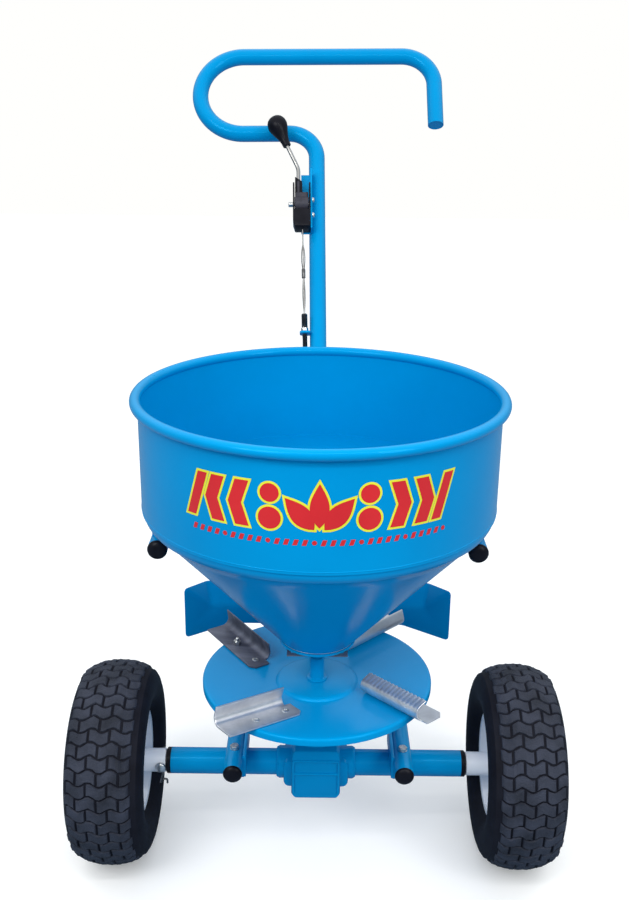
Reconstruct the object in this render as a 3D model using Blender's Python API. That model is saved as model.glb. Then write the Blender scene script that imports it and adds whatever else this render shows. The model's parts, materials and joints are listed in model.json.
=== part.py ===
"""Push-along fertilizer spreader: round hopper over a bladed spinner disc, driven from the axle.

X runs to the right seen from the front, Y runs to the rear (where the user walks), Z is up.
The sizes below are written with the axle at Y = 0; the whole machine is then moved along Y so
that the middle of its length stands over the origin.
"""
import math

import bmesh
import bpy
from mathutils import Matrix, Vector

# Clearances
GAP = 0.0003
RUN_GAP = 0.0006

# Wheels
TYRE_R = 0.165
TYRE_W = 0.1225
TRACK = 0.656
RIM_SEAT_R = 0.0762
RIM_FLANGE_R = 0.0845
RIM_W = 0.089
RIM_WELL_R = 0.0610
RIM_WALL = 0.0025
TYRE_WALL = 0.0070
HUB_R = 0.0190
HUB_LENGTH = 0.1270
AXLE_R = 0.0100
HUB_INSET = 0.0890
HUB_GAP = 0.0015
AXLE_STICKOUT = 0.0105
PIN_R = 0.0040
WHEEL_SIDES = 28

# Axle tube and its ends
AXLE_TUBE_R = 0.0212
AXLE_TUBE_WALL = 0.0032
AXLE_TUBE_REACH = TRACK / 2 - HUB_INSET
BUSH_COLLAR = 0.0070

# Gearbox
BOX_HALF_W = 0.0400
BOX_HALF_D = 0.0420
BOX_WALL = 0.0050
BOX_BELLY = 0.0415
BOX_TOP = 0.0490
WING_HALF_W = 0.0530
WING_HALF_D = 0.0300
WING_LOW = 0.0285
WING_TOP = 0.0200
SLEEVE_R = 0.0262
SLEEVE_REACH = 0.0620
SOCKET_DEPTH = 0.0165
BEARING_W = 0.0085
AXLE_BEARING_R = 0.0165
NECK_R = 0.0265
NECK_TOP = 0.2830
CROWN_TEETH = 28
PINION_TEETH = 7
GEAR_MODULE = 0.0025
GEAR_FACE = 0.27
SHAFT_BUSH_R = 0.0175
STUB_R = 0.0028

# Spinner disc
DISC_R = 0.1830
DISC_EDGE_Z = 0.3330
DISC_DISH = 0.109
DISC_SHEET = 0.0025
DISC_LIP = 0.0120
PLATEAU_R = 0.0620
PLATEAU_TOP_R = 0.0530
PLATEAU_H = 0.0050
SHAFT_R = 0.0090
DISC_NUT_TOP = 0.3640

# Throwing vanes on the disc
VANE_BEARING = 38.4
VANE_OFFSET = 0.0268
VANE_START = 0.0895
VANE_REACH = (-0.0085, 0.1260)
TIP_VANE_REACH = (-0.0120, 0.1285)
VANE_TAB = 0.0125
VANE_WIDTH = 0.0440
VANE_SHEET = 0.0022
VANE_BEND_R = 0.0130
VANE_BEND = 105.0
VANE_LIP = 0.0150
TIP_VANE_BEND = 160.0
TIP_VANE_LIP = 0.0130
VANE_LIFT = 0.0010
VANE_HOLES = (0.0110, 0.0660)
VANE_HOLE_SIDE = 0.0235
SCREW_R = 0.0032

# Hopper
HOPPER_R = 0.2656
HOPPER_SHEET = 0.0020
BEAD_R = 0.0080
BEAD_CENTRE_R = HOPPER_R + 0.0032
BEAD_Z = 0.7980
SEAM_Z = 0.6340
SHOULDER_Z = 0.6165
SHOULDER_R = HOPPER_R - 0.0086
CONE_TOP_R = HOPPER_R - 0.0156
CONE_BOTTOM_R = 0.0570
CONE_BOTTOM_Z = 0.4000
SKIRT_OVERLAP = 0.0160
HOPPER_SIDES = 40

# Outlet and shutter
OUTLET_R = 0.0600
OUTLET_SHEET = 0.0030
PORT_INNER_X = 0.0160
PORT_OUTER_X = 0.0410
PORT_LENGTH = 0.0240
PORT_FRONT_Y = -0.0210
SHUTTER_SHEET = 0.0020
SHUTTER_HALF_W = 0.0470
SHUTTER_FRONT_Y = -0.0540
SHUTTER_REAR_Y = 0.0500
SHUTTER_TRAVEL = 0.0250
TAIL_HALF_W = 0.0120
TAIL_REAR_Y = 0.1100

# Frame tubes
TUBE_SIDES = 12
RAIL_R = 0.0150
RAIL_WALL = 0.0020
RAIL_GAUGE = 0.2705
FRAME_X = 0.0040
RAIL_FRONT_Y = -0.0850
RAIL_BEND_R = 0.0850
ARM_INSET = 0.0261
ARM_SPACING = 2 * (HOPPER_R - ARM_INSET)
ARM_X = -0.0010
ARM_Z = 0.5700
ARM_FRONT_Y = -0.0500
ARM_BEND_R = 0.1300
UPRIGHT_Y = 0.3000
UPRIGHT_X = -0.0042
UPRIGHT_R = 0.0190
UPRIGHT_WALL = 0.0032
UPRIGHT_BEND_R = 0.1000
SOCKET_END_S = -0.0450
PLUG_DOME = 0.0060
PLUG_FLANGE = 0.0022
PLUG_DEPTH = 0.0200
FOOT_R = 0.0300
FOOT_H = 0.0340
FOOT_SOLE = 0.0080

# Clamps that hold the axle tube under the side rails
SADDLE_SHEET = 0.0040
SADDLE_W = 0.0250
SADDLE_EAR = 0.0520
CLAMP_BOLT_Y = 0.0385
CLAMP_BOLT_R = 0.0040
CHEEK_SHEET = 0.0050
CHEEK_HALF = 0.0520

# Handle: one bent tube in a plane that leans back from the post's foot
HANDLE_Y = 0.3750
HANDLE_Z = 0.7900
HANDLE_LEAN = 33.5
HANDLE_ROLL = 1.0
HANDLE_R = 0.0150
HANDLE_WALL = 0.0020
HANDLE_FOOT_S = -0.1000
LOWER_BAR_S = 0.4210
TOP_BAR_S = 0.5880
GRIP_LEFT_X = -0.2228
GRIP_RIGHT_X = 0.2277
GRIP_END_S = 0.4375
CORNER_R = 0.0520
RIGHT_BEND_R = 0.0620
HANDLE_BOLT_S = -0.0720

# Shutter lever on the post
LEVER_X = -0.0285
LEVER_F = 0.0290
PIVOT_S = 0.2570
BODY_W = 0.0320
BODY_D = 0.0300
CAP_LOW_S = 0.2075
GUARD_HIGH_S = 0.3150
DRUM_R = 0.0145
DRUM_W = 0.0256
PIVOT_PIN_R = 0.0030
ROD_X = (-0.0345, -0.0530, -0.0720)
ROD_S = (0.3300, 0.3680, 0.4110)
ROD_F = (0.0365, 0.0400)
ROD_R = 0.0035
KNOB_R = 0.0185
KNOB_NECK_R = 0.0075
PLATE_T = 0.0030
BRACKET_F = 0.0110
BRACKET_FIN_X = -0.0121
BRACKET_RIVETS = (0.2359, 0.2662)

# Control cable
WIRE_R = 0.0012
WIRE_TRAVEL = 0.0250
WIRE_LOW = (-0.0240, 0.0100)
WIRE_HIGH = (-0.0270, 0.0290)
CABLE_R = 0.0030
CRIMP_S = (0.1152, 0.1329)
ADJUSTER_TOP_S = 0.0491
ADJUSTER_NUT_S = 0.0193
ADJUSTER_LOW_S = -0.0300
ADJUSTER_R = 0.0055
FERRULE_Y = (0.1660, 0.2060)
FERRULE_R = 0.0050
TAIL_X = 0.0

# Agitator
AGITATOR_TOP = 0.4150

# Rear shield
SHIELD_Y = 0.2500
SHIELD_LOW_Z = 0.2876
SHIELD_LOW_HALF_W = 0.1550
SHIELD_HIGH_Z = 0.3220
SHIELD_HALF_W = 0.1960
SHIELD_TIP_X = 0.2420
SHIELD_TIP_Y = 0.2350
SHIELD_TIP_LOW_Z = 0.2636
SHIELD_TIP_HIGH_Z = 0.3620
SHIELD_TOP_Y = 0.2800
SHIELD_TOP_Z = 0.3570
SHIELD_TOP_HALF_W = 0.2060
SHIELD_SHEET = 0.0025

# Worked-out sizes
AXLE_Z = TYRE_R
RAIL_Z = AXLE_Z + AXLE_TUBE_R + GAP + RAIL_R
BUSH_END = AXLE_TUBE_REACH + BUSH_COLLAR
AXLE_LENGTH = 2 * (BUSH_END + HUB_GAP + HUB_LENGTH + AXLE_STICKOUT)
WHEEL_X = TRACK / 2
PIN_X = -(BUSH_END + 0.0095)
LEAN = math.radians(HANDLE_LEAN)
ROLL = math.radians(HANDLE_ROLL)
POST_FOOT = Vector((UPRIGHT_X, HANDLE_Y, HANDLE_Z))
UP_SLOPE = Vector((0.0, math.sin(LEAN), math.cos(LEAN)))
FRONTWARD = Vector((0.0, -math.cos(LEAN), math.sin(LEAN)))
POST_DIR = (UP_SLOPE * math.cos(ROLL) - Vector((1, 0, 0)) * math.sin(ROLL)).normalized()
ACROSS_DIR = (Vector((1, 0, 0)) * math.cos(ROLL) + UP_SLOPE * math.sin(ROLL)).normalized()
OUTLET_TOP = CONE_BOTTOM_Z - GAP
OUTLET_LOW = OUTLET_TOP - OUTLET_SHEET
SHUTTER_TOP = OUTLET_LOW - RUN_GAP
SHUTTER_LOW = SHUTTER_TOP - SHUTTER_SHEET
CABLE_END_Z = SHUTTER_LOW + SHUTTER_SHEET / 2
TOP_BAR_END = POST_FOOT + POST_DIR * TOP_BAR_S + ACROSS_DIR * (GRIP_RIGHT_X - RIGHT_BEND_R)
REAR_REACH = TOP_BAR_END.y + HANDLE_R * math.cos(math.pi / TUBE_SIDES)
FRONT_REACH = BEAD_CENTRE_R + BEAD_R
AXLE_Y = (FRONT_REACH - REAR_REACH) / 2


def clear_scene():
    for item in list(bpy.data.objects):
        bpy.data.objects.remove(item, do_unlink=True)


# Materials

def paint(name, colour, roughness, metallic):
    mat = bpy.data.materials.new(name)
    mat.use_nodes = True
    shader = mat.node_tree.nodes["Principled BSDF"]
    shader.inputs["Base Color"].default_value = (*colour, 1.0)
    shader.inputs["Roughness"].default_value = roughness
    shader.inputs["Metallic"].default_value = metallic
    mat.diffuse_color = (*colour, 1.0)
    return mat


FINISHES = {
    "blue": ((0.0, 0.25, 0.68), 0.28, 0.0),
    "rubber": ((0.02, 0.022, 0.026), 0.75, 0.0),
    "white": ((0.78, 0.78, 0.78), 0.4, 0.0),
    "steel": ((0.42, 0.42, 0.43), 0.35, 1.0),
    "zinc": ((0.62, 0.62, 0.6), 0.3, 1.0),
    "black": ((0.015, 0.015, 0.017), 0.45, 0.0),
    "grey": ((0.18, 0.18, 0.2), 0.5, 0.0),
}


# Solids

def add_object(name, bm, finish, origin=(0.0, 0.0, 0.0), sharp=35.0):
    """Names a mesh, gives it its finish, and sets it in the machine with its own origin."""
    bmesh.ops.recalc_face_normals(bm, faces=bm.faces)
    bmesh.ops.translate(bm, verts=bm.verts, vec=-Vector(origin))
    mesh = bpy.data.meshes.new(name)
    bm.to_mesh(mesh)
    bm.free()
    mesh.shade_smooth()
    mesh.set_sharp_from_angle(angle=math.radians(sharp))
    mesh.materials.append(paint(name, *FINISHES[finish]))
    obj = bpy.data.objects.new(name, mesh)
    obj.location = origin
    obj.parent = bpy.data.objects["machine"]
    bpy.context.scene.collection.objects.link(obj)
    return obj


def skin(rings, closed=False):
    """Joins rings of equally many points into one body, capped at both ends unless it closes."""
    bm = bmesh.new()
    layers = [[bm.verts.new(point) for point in ring] for ring in rings]
    spans = len(layers) if closed else len(layers) - 1
    for k in range(spans):
        near = layers[k]
        far = layers[(k + 1) % len(layers)]
        for i in range(len(near)):
            j = (i + 1) % len(near)
            bm.faces.new((near[i], near[j], far[j], far[i]))
    if not closed:
        bm.faces.new(layers[0])
        bm.faces.new(layers[-1])
    return bm


def circle(radius, height, sides, axis, centre, hexed=False):
    """A ring of points about an axis, or the same number of points round a hexagon."""
    ring = []
    for i in range(sides):
        angle = 2 * math.pi * i / sides
        reach = radius
        if hexed:
            reach = radius * math.cos(math.pi / 6) / math.cos(angle % (math.pi / 3) - math.pi / 6)
        a = reach * math.cos(angle)
        b = reach * math.sin(angle)
        point = {"X": (height, a, b), "Y": (b, height, a), "Z": (a, b, height)}[axis]
        ring.append(Vector(centre) + Vector(point))
    return ring


def turn(profile, sides, axis="Z", centre=(0.0, 0.0, 0.0), closed=True):
    """Turns (radius, height) points about an axis; a closed profile leaves a bore."""
    return skin([circle(p[0], p[1], sides, axis, centre, len(p) > 2) for p in profile], closed)


def ring_solid(r_out, r_in, low, high, sides, axis="Z", centre=(0.0, 0.0, 0.0)):
    profile = [(r_in, low), (r_out, low), (r_out, high), (r_in, high)]
    return turn(profile, sides, axis, centre)


def rod_solid(radius, low, high, sides, axis="Z", centre=(0.0, 0.0, 0.0)):
    return turn([(radius, low), (radius, high)], sides, axis, centre, closed=False)


def sweep(path, radius, sides, bore=0.0):
    """Carries a circle along a path without twist; radius may be one value or one a point."""
    radii = radius if isinstance(radius, list) else [radius] * len(path)
    tangents = []
    for k in range(len(path)):
        before = path[max(k - 1, 0)]
        after = path[min(k + 1, len(path) - 1)]
        tangents.append((after - before).normalized())
    side = tangents[0].orthogonal().normalized()
    outer = []
    inner = []
    for k, point in enumerate(path):
        side = (side - tangents[k] * side.dot(tangents[k])).normalized()
        other = tangents[k].cross(side)
        stretch = 1.0
        if 0 < k < len(path) - 1:
            stretch = 1.0 / max(math.cos(0.5 * (path[k + 1] - point).angle(point - path[k - 1])), 0.5)
        ring = []
        hole = []
        for i in range(sides):
            angle = 2 * math.pi * (i + 0.5) / sides
            spoke = side * math.cos(angle) + other * math.sin(angle)
            ring.append(point + spoke * radii[k])
            hole.append(point + spoke * bore)
        outer.append(ring)
        inner.append(hole)
    if bore > 0.0:
        return skin(outer + inner[::-1], closed=True)
    return skin(outer)


def rounded(points, radius, step=15.0):
    """A path with each corner replaced by an arc of the given radius."""
    radii = radius if isinstance(radius, list) else [radius] * (len(points) - 2)
    path = [Vector(points[0])]
    for k in range(1, len(points) - 1):
        corner = Vector(points[k])
        back = (Vector(points[k - 1]) - corner).normalized()
        ahead = (Vector(points[k + 1]) - corner).normalized()
        bend = math.pi - back.angle(ahead)
        bulge = radii[k - 1] / math.cos(bend / 2)
        centre = corner + (back + ahead).normalized() * bulge
        start = corner + back * radii[k - 1] * math.tan(bend / 2) - centre
        normal = back.cross(ahead).normalized()
        count = max(2, math.ceil(math.degrees(bend) / step))
        for i in range(count + 1):
            spin = Matrix.Rotation(-bend * i / count, 3, normal)
            path.append(centre + spin @ start)
    path.append(Vector(points[-1]))
    return path


def block(low, high, bevel=0.0):
    bm = bmesh.new()
    bmesh.ops.create_cube(bm, size=1.0)
    low = Vector(low)
    high = Vector(high)
    size = high - low
    bmesh.ops.scale(bm, verts=bm.verts, vec=size)
    bmesh.ops.translate(bm, verts=bm.verts, vec=(low + high) / 2)
    if bevel > 0.0:
        bmesh.ops.bevel(bm, geom=bm.edges[:], offset=bevel, segments=2, profile=0.5, affect="EDGES")
    return bm


def plate(outline, origin, u_dir, v_dir, depth):
    """Extrudes a flat outline of (u, v) points by a depth along u x v."""
    u_dir = Vector(u_dir)
    v_dir = Vector(v_dir)
    normal = u_dir.cross(v_dir).normalized() * depth
    floor = [Vector(origin) + u_dir * u + v_dir * v for u, v in outline]
    roof = [point + normal for point in floor]
    return skin([floor, roof])


def strip(path, thickness):
    """The outline of a bent sheet whose middle follows (u, v) points."""
    left = []
    right = []
    for k, point in enumerate(path):
        before = Vector(path[max(k - 1, 0)])
        after = Vector(path[min(k + 1, len(path) - 1)])
        here = Vector(point)
        run_in = (here - before).normalized() if k > 0 else (after - here).normalized()
        run_out = (after - here).normalized() if k < len(path) - 1 else run_in
        along = (run_in + run_out).normalized()
        reach = thickness / 2 / max(along.dot(run_in), 0.3)
        side = Vector((-along.y, along.x)) * reach
        left.append(tuple(here + side))
        right.append(tuple(here - side))
    return left + right[::-1]


def carve(obj, bm, operation="DIFFERENCE"):
    """Adds a Boolean to an object; its tool is left out of the model."""
    name = f"tool_{obj.name}_{len(obj.modifiers)}"
    tool = add_object(name, bm, "grey", origin=tuple(obj.location))
    tool.hide_render = True
    tool.display_type = "WIRE"
    modifier = obj.modifiers.new(name, "BOOLEAN")
    modifier.operation = operation
    modifier.solver = "EXACT"
    modifier.object = tool


def bolt(shank_r, length, axis, centre, facing=1):
    """A hexagon-headed bolt whose head sits on the plane through centre, facing along the axis."""
    head_r = shank_r * 1.9
    base = GAP * facing
    profile = [(shank_r, -length * facing), (shank_r, base), (head_r, base, "hex"),
               (head_r, base + shank_r * 1.3 * facing, "hex")]
    return turn(profile, 12, axis, centre, closed=False)


def place(bm, matrix):
    """Moves a body made in a sloping piece's own axes to where it belongs."""
    bmesh.ops.transform(bm, matrix=matrix, verts=bm.verts)
    return bm


def post_frame():
    """The handle's own axes: x across, y to the rear of its plane, z up the post."""
    frame = Matrix((ACROSS_DIR, -FRONTWARD, POST_DIR)).transposed().to_4x4()
    return Matrix.Translation(POST_FOOT) @ frame


def side_name(base, side):
    return f"{base}_{'left' if side < 0 else 'right'}"


# Wheels

def tyre(side):
    half = TYRE_W / 2
    seat = RIM_SEAT_R + GAP
    bead = RIM_W / 2 - RIM_WALL - GAP
    outside = [
        (seat, bead), (RIM_FLANGE_R + 0.0008, bead), (0.1030, half - 0.0040), (0.1300, half),
        (0.1550, half - 0.0150), (TYRE_R, 0.0200)]
    inside = [
        (seat, bead - TYRE_WALL), (0.1180, half - 0.0110), (TYRE_R - TYRE_WALL - 0.0020, 0.0180)]
    profile = outside + [(r, -x) for r, x in reversed(outside)]
    profile += [(r, -x) for r, x in inside] + [(r, x) for r, x in reversed(inside)]
    centre = (side * WHEEL_X, 0.0, AXLE_Z)
    add_object(side_name("tyre", side), turn(profile, WHEEL_SIDES, "X", centre), "rubber", centre)


def rim(side):
    """Wheel centre: drop-centre rim, web and long hub tube in one welded piece."""
    half = RIM_W / 2
    seat = RIM_SEAT_R
    well = RIM_WELL_R
    wall = RIM_WALL
    bore = AXLE_R + GAP
    inner_end = BUSH_END + HUB_GAP - WHEEL_X
    outer_end = inner_end + HUB_LENGTH
    top = [
        (RIM_FLANGE_R, -half), (RIM_FLANGE_R, -half + wall), (seat, -half + wall),
        (seat, -0.0230), (well, -0.0180), (well, 0.0180), (seat, 0.0230),
        (seat, half - wall), (RIM_FLANGE_R, half - wall), (RIM_FLANGE_R, half)]
    under = [
        (seat - wall, half), (well - wall, 0.0200), (well - wall, 0.0020), (HUB_R, 0.0020),
        (HUB_R, outer_end), (bore, outer_end), (bore, inner_end), (HUB_R, inner_end),
        (HUB_R, -0.0010), (well - wall, -0.0010), (well - wall, -0.0200), (seat - wall, -half)]
    centre = (side * WHEEL_X, 0.0, AXLE_Z)
    profile = [(r, side * x) for r, x in top + under]
    wheel = add_object(side_name("rim", side), turn(profile, WHEEL_SIDES, "X", centre), "white", centre)
    if side < 0:
        carve(wheel, rod_solid(PIN_R + GAP, -0.030, 0.030, 12, "Y", (PIN_X, 0.0, AXLE_Z)))


def axle_shaft():
    half = AXLE_LENGTH / 2
    shaft = add_object("axle_shaft", rod_solid(AXLE_R, -half, half, 24, "X", (0, 0, AXLE_Z)), "steel",
                       (0, 0, AXLE_Z))
    carve(shaft, rod_solid(PIN_R + GAP, -0.030, 0.030, 12, "Y", (PIN_X, 0.0, AXLE_Z)))


def drive_pin():
    """Headed pin through the left hub and the axle, and the spring clip that keeps it in."""
    centre = (PIN_X, 0.0, AXLE_Z)
    profile = [
        (PIN_R, HUB_R + 0.0120), (PIN_R, -HUB_R - GAP), (0.0078, -HUB_R - GAP),
        (0.0078, -HUB_R - 0.0030), (0.0050, -HUB_R - 0.0055)]
    pin = add_object("drive_pin", turn(profile, 16, "Y", centre, closed=False), "zinc", (0, 0, AXLE_Z))
    tail_y = HUB_R + 0.0060
    carve(pin, rod_solid(0.0012 + GAP, -0.01, 0.01, 12, "Z", (PIN_X, tail_y, AXLE_Z)))
    low = AXLE_Z - HUB_R - 0.0100
    path = rounded([(PIN_X, tail_y, AXLE_Z + 0.007), (PIN_X, tail_y, low),
                    (PIN_X, -HUB_R - 0.0030, low), (PIN_X + 0.0030, -HUB_R - 0.0030, low + 0.0080),
                    (PIN_X + 0.0110, -HUB_R - 0.0030, low + 0.0080),
                    (PIN_X + 0.0110, -HUB_R - 0.0030, low)], [0.006, 0.003, 0.003, 0.003], 30.0)
    add_object("pin_clip", sweep(path, 0.0012, 6), "steel", (0, 0, AXLE_Z))


def axle_nut(side):
    """Flanged nut that keeps a wheel on the axle."""
    hub_end = BUSH_END + HUB_GAP + HUB_LENGTH
    bore = AXLE_R + 2 * GAP
    near = side * (hub_end + GAP)
    step = side * (hub_end + 0.0025)
    far = side * (hub_end + 0.0100)
    profile = [(bore, near), (0.0175, near), (0.0175, step), (0.0150, step, "hex"),
               (0.0150, far, "hex"), (bore, far)]
    add_object(side_name("axle_nut", side), turn(profile, 12, "X", (0, 0, AXLE_Z)), "zinc",
               (0, 0, AXLE_Z))


def axle_tube(side):
    """Half of the axle tube, from its socket in the gearbox to the bush in its outer end."""
    start = SLEEVE_REACH - SOCKET_DEPTH + GAP
    inner = AXLE_TUBE_R - AXLE_TUBE_WALL
    low, high = sorted((side * start, side * AXLE_TUBE_REACH))
    bm = ring_solid(AXLE_TUBE_R, inner, low, high, 24, "X", (0, 0, AXLE_Z))
    add_object(side_name("axle_tube", side), bm, "blue", (0, 0, AXLE_Z))
    seat = side * (AXLE_TUBE_REACH + GAP)
    bore = AXLE_R + 0.0004
    profile = [
        (bore, seat - side * 0.0200), (inner - GAP, seat - side * 0.0200), (inner - GAP, seat),
        (AXLE_TUBE_R, seat), (AXLE_TUBE_R - 0.0010, side * BUSH_END), (bore, side * BUSH_END)]
    add_object(side_name("axle_bush", side), turn(profile, 24, "X", (0, 0, AXLE_Z)), "black",
               (0, 0, AXLE_Z))


# Gearbox

def gearbox_case():
    """Cast case: box with a wing at each side, two axle sleeves and the neck of the disc shaft."""
    low = -BOX_BELLY
    outline = [
        (-BOX_HALF_W + 0.0050, low), (BOX_HALF_W - 0.0050, low), (BOX_HALF_W, low + 0.0080),
        (BOX_HALF_W, 0.0240), (BOX_HALF_W - 0.0030, BOX_TOP), (-BOX_HALF_W + 0.0030, BOX_TOP),
        (-BOX_HALF_W, 0.0240), (-BOX_HALF_W, low + 0.0080)]
    body = plate(outline, (0, BOX_HALF_D, AXLE_Z), (1, 0, 0), (0, 0, 1), 2 * BOX_HALF_D)
    bmesh.ops.bevel(body, geom=body.edges[:], offset=0.0035, segments=1, profile=0.5, affect="EDGES")
    case = add_object("gearbox_case", body, "blue", (0, 0, AXLE_Z))
    carve(case, block((-WING_HALF_W, -WING_HALF_D, AXLE_Z - WING_LOW),
                      (WING_HALF_W, WING_HALF_D, AXLE_Z + WING_TOP), 0.0040), "UNION")
    carve(case, rod_solid(SLEEVE_R, -SLEEVE_REACH, SLEEVE_REACH, 24, "X", (0, 0, AXLE_Z)), "UNION")
    carve(case, rod_solid(NECK_R, AXLE_Z, NECK_TOP, 24), "UNION")
    inner_w = BOX_HALF_W - BOX_WALL
    carve(case, block((-inner_w, -BOX_HALF_D + BOX_WALL, AXLE_Z + low + BOX_WALL),
                      (inner_w, BOX_HALF_D + 0.01, AXLE_Z + BOX_TOP - BOX_WALL), 0.0020))
    stop = SLEEVE_REACH - SOCKET_DEPTH
    for side in (-1, 1):
        bore = rod_solid(AXLE_TUBE_R + GAP, side * stop, side * 0.07, 24, "X", (0, 0, AXLE_Z))
        carve(case, bore)
    seat = AXLE_BEARING_R + GAP
    carve(case, rod_solid(seat, -stop - 0.01, stop + 0.01, 24, "X", (0, 0, AXLE_Z)))
    carve(case, rod_solid(SHAFT_BUSH_R + GAP, AXLE_Z, NECK_TOP + 0.01, 24))


def axle_bearing(side):
    near = BOX_HALF_W - BOX_WALL + GAP
    low, high = sorted((side * near, side * (near + BEARING_W)))
    bm = ring_solid(AXLE_BEARING_R, AXLE_R + GAP, low, high, 24, "X", (0, 0, AXLE_Z))
    add_object(side_name("axle_bearing", side), bm, "steel", (0, 0, AXLE_Z))


def shaft_bush():
    """Flanged bush that carries the disc shaft in the neck."""
    low = AXLE_Z + BOX_TOP - BOX_WALL
    bore = SHAFT_R + GAP
    profile = [
        (bore, low), (SHAFT_BUSH_R, low), (SHAFT_BUSH_R, NECK_TOP + GAP), (NECK_R, NECK_TOP + GAP),
        (NECK_R, NECK_TOP + 0.0035), (bore, NECK_TOP + 0.0035)]
    add_object("shaft_bush", turn(profile, 24), "black", (0, 0, AXLE_Z))


def gearbox_cover():
    """Rear cover with a step that enters the case and four cast-in bolt heads."""
    inner_w = BOX_HALF_W - BOX_WALL - GAP
    low = AXLE_Z - BOX_BELLY + BOX_WALL + GAP
    high = AXLE_Z + BOX_TOP - BOX_WALL - GAP
    face = BOX_HALF_D + GAP
    margin = BOX_WALL - 0.0015
    bm = block((-inner_w - margin, face, low - margin + 0.001),
               (inner_w + margin, face + 0.0040, high + margin), 0.0010)
    cover = add_object("gearbox_cover", bm, "blue", (0, 0, AXLE_Z))
    carve(cover, block((-inner_w + 0.001, face - 0.0045, low + 0.001),
                       (inner_w - 0.001, face + 0.002, high - 0.001)), "UNION")
    for x in (-inner_w + 0.002, inner_w - 0.002):
        for z in (low + 0.003, high - 0.003):
            head = rod_solid(0.0050, face + 0.003, face + 0.0075, 6, "Y", (x, 0, z))
            carve(cover, head, "UNION")


def bevel_gear(teeth, mate_teeth, face, back, bore):
    """A bevel gear about +Z, its cone tip at the origin and its teeth facing the tip."""
    cone = math.atan2(teeth, mate_teeth)
    outer_len = GEAR_MODULE * math.hypot(teeth, mate_teeth) / 2
    rings = []
    for scale in (1.0, 1.0 - face):
        length = outer_len * scale
        ring = []
        for k in range(teeth):
            for part, rise in ((-0.29, -1.15), (-0.10, 0.70), (0.10, 0.70), (0.29, -1.15)):
                angle = 2 * math.pi * (k + part) / teeth
                tip = cone + rise * GEAR_MODULE / outer_len
                reach = length / math.cos(tip - cone)
                radius = reach * math.sin(tip)
                height = reach * math.cos(tip)
                ring.append(Vector((radius * math.cos(angle), radius * math.sin(angle), height)))
        rings.append(ring)
    spread = [math.atan2(point.y, point.x) for point in rings[0]]

    def level(radius, height):
        return [Vector((radius * math.cos(a), radius * math.sin(a), height)) for a in spread]

    foot = 0.92 * min(point.xy.length for point in rings[0])
    nose = 0.92 * min(point.xy.length for point in rings[1])
    nose_h = outer_len * (1 - face) * math.cos(cone)
    loops = [level(bore, nose_h), level(nose, nose_h), rings[1], rings[0], level(foot, back)]
    loops += [level(bore, back)]
    return skin(loops, closed=True)


def gears():
    """Crown gear on the axle and the small pinion on the disc shaft, four turns to one."""
    centre = Matrix.Translation((0, 0, AXLE_Z))
    crown = bevel_gear(CROWN_TEETH, PINION_TEETH, GEAR_FACE, 0.0165, AXLE_R + GAP)
    half_tooth = Matrix.Rotation(math.pi / CROWN_TEETH, 4, "Z")
    place(crown, centre @ Matrix.Rotation(math.pi / 2, 4, "Y") @ half_tooth)
    add_object("crown_gear", crown, "steel", (0, 0, AXLE_Z), 25.0)
    pinion = bevel_gear(PINION_TEETH, CROWN_TEETH, GEAR_FACE, 0.0375, STUB_R + GAP)
    add_object("disc_pinion", place(pinion, centre), "steel", (0, 0, AXLE_Z), 25.0)


def disc_shaft():
    """Upright shaft: stub for the pinion, journal, flange under the disc, and threaded top."""
    stub = AXLE_Z + 0.0250
    flange = disc_z(0.0) - DISC_SHEET - GAP
    profile = [
        (STUB_R, stub), (STUB_R, AXLE_Z + 0.0380), (SHAFT_R, AXLE_Z + 0.0380),
        (SHAFT_R, NECK_TOP + 0.0060), (0.0300, NECK_TOP + 0.0110), (0.0400, flange - 0.0040),
        (0.0400, flange), (SHAFT_R, flange), (SHAFT_R, AGITATOR_TOP)]
    add_object("disc_shaft", turn(profile, 24, closed=False), "steel", (0, 0, AXLE_Z))


# Spinner disc and vanes

def dish_profile():
    """Top face of the disc from its shaft hole to the edge, as (radius, height)."""
    radii = (SHAFT_R + GAP, PLATEAU_TOP_R, PLATEAU_R, 0.1225, DISC_R - 0.0030)
    return [(r, disc_z(r)) for r in radii]


def disc():
    top = dish_profile()
    drop = DISC_SHEET
    rim_top = disc_z(DISC_R) - 0.0010
    under = [(r, z - drop) for r, z in reversed(top)]
    under[0] = (DISC_R - DISC_SHEET - 0.0010, rim_top - drop)
    edge = [(DISC_R, rim_top - 0.0010), (DISC_R, rim_top - DISC_LIP),
            (DISC_R - DISC_SHEET, rim_top - DISC_LIP)]
    plate_body = turn(top + edge + under, 36)
    spinner = add_object("spinner_disc", plate_body, "blue", (0, 0, AXLE_Z))
    for k in range(4):
        for u in VANE_HOLES:
            hole = rod_solid(SCREW_R + GAP, -0.008, 0.004, 8)
            place(hole, vane_frame(k) @ Matrix.Translation((u, VANE_HOLE_SIDE, 0)))
            carve(spinner, hole)


def vane_frame(k):
    """Axes of a vane whose flange touches the dish between its fixings: u outwards, w off the disc."""
    bearing = math.radians(VANE_BEARING + 90.0 * k)
    mid_u = sum(VANE_HOLES) / 2
    middle = Vector((VANE_START + mid_u, VANE_OFFSET + VANE_HOLE_SIDE, 0.0))
    away = middle.normalized()
    along = Vector((1.0, 0.0, DISC_DISH * away.x)).normalized()
    off = Vector((-DISC_DISH * away.x, -DISC_DISH * away.y, 1.0)).normalized()
    across = off.cross(along)
    seat = Vector((middle.x, middle.y, disc_z(middle.length)))
    start = seat - along * mid_u - across * VANE_HOLE_SIDE
    axes = Matrix((along, across, off)).transposed().to_4x4()
    return Matrix.Rotation(bearing, 4, "Z") @ Matrix.Translation(start) @ axes


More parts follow.
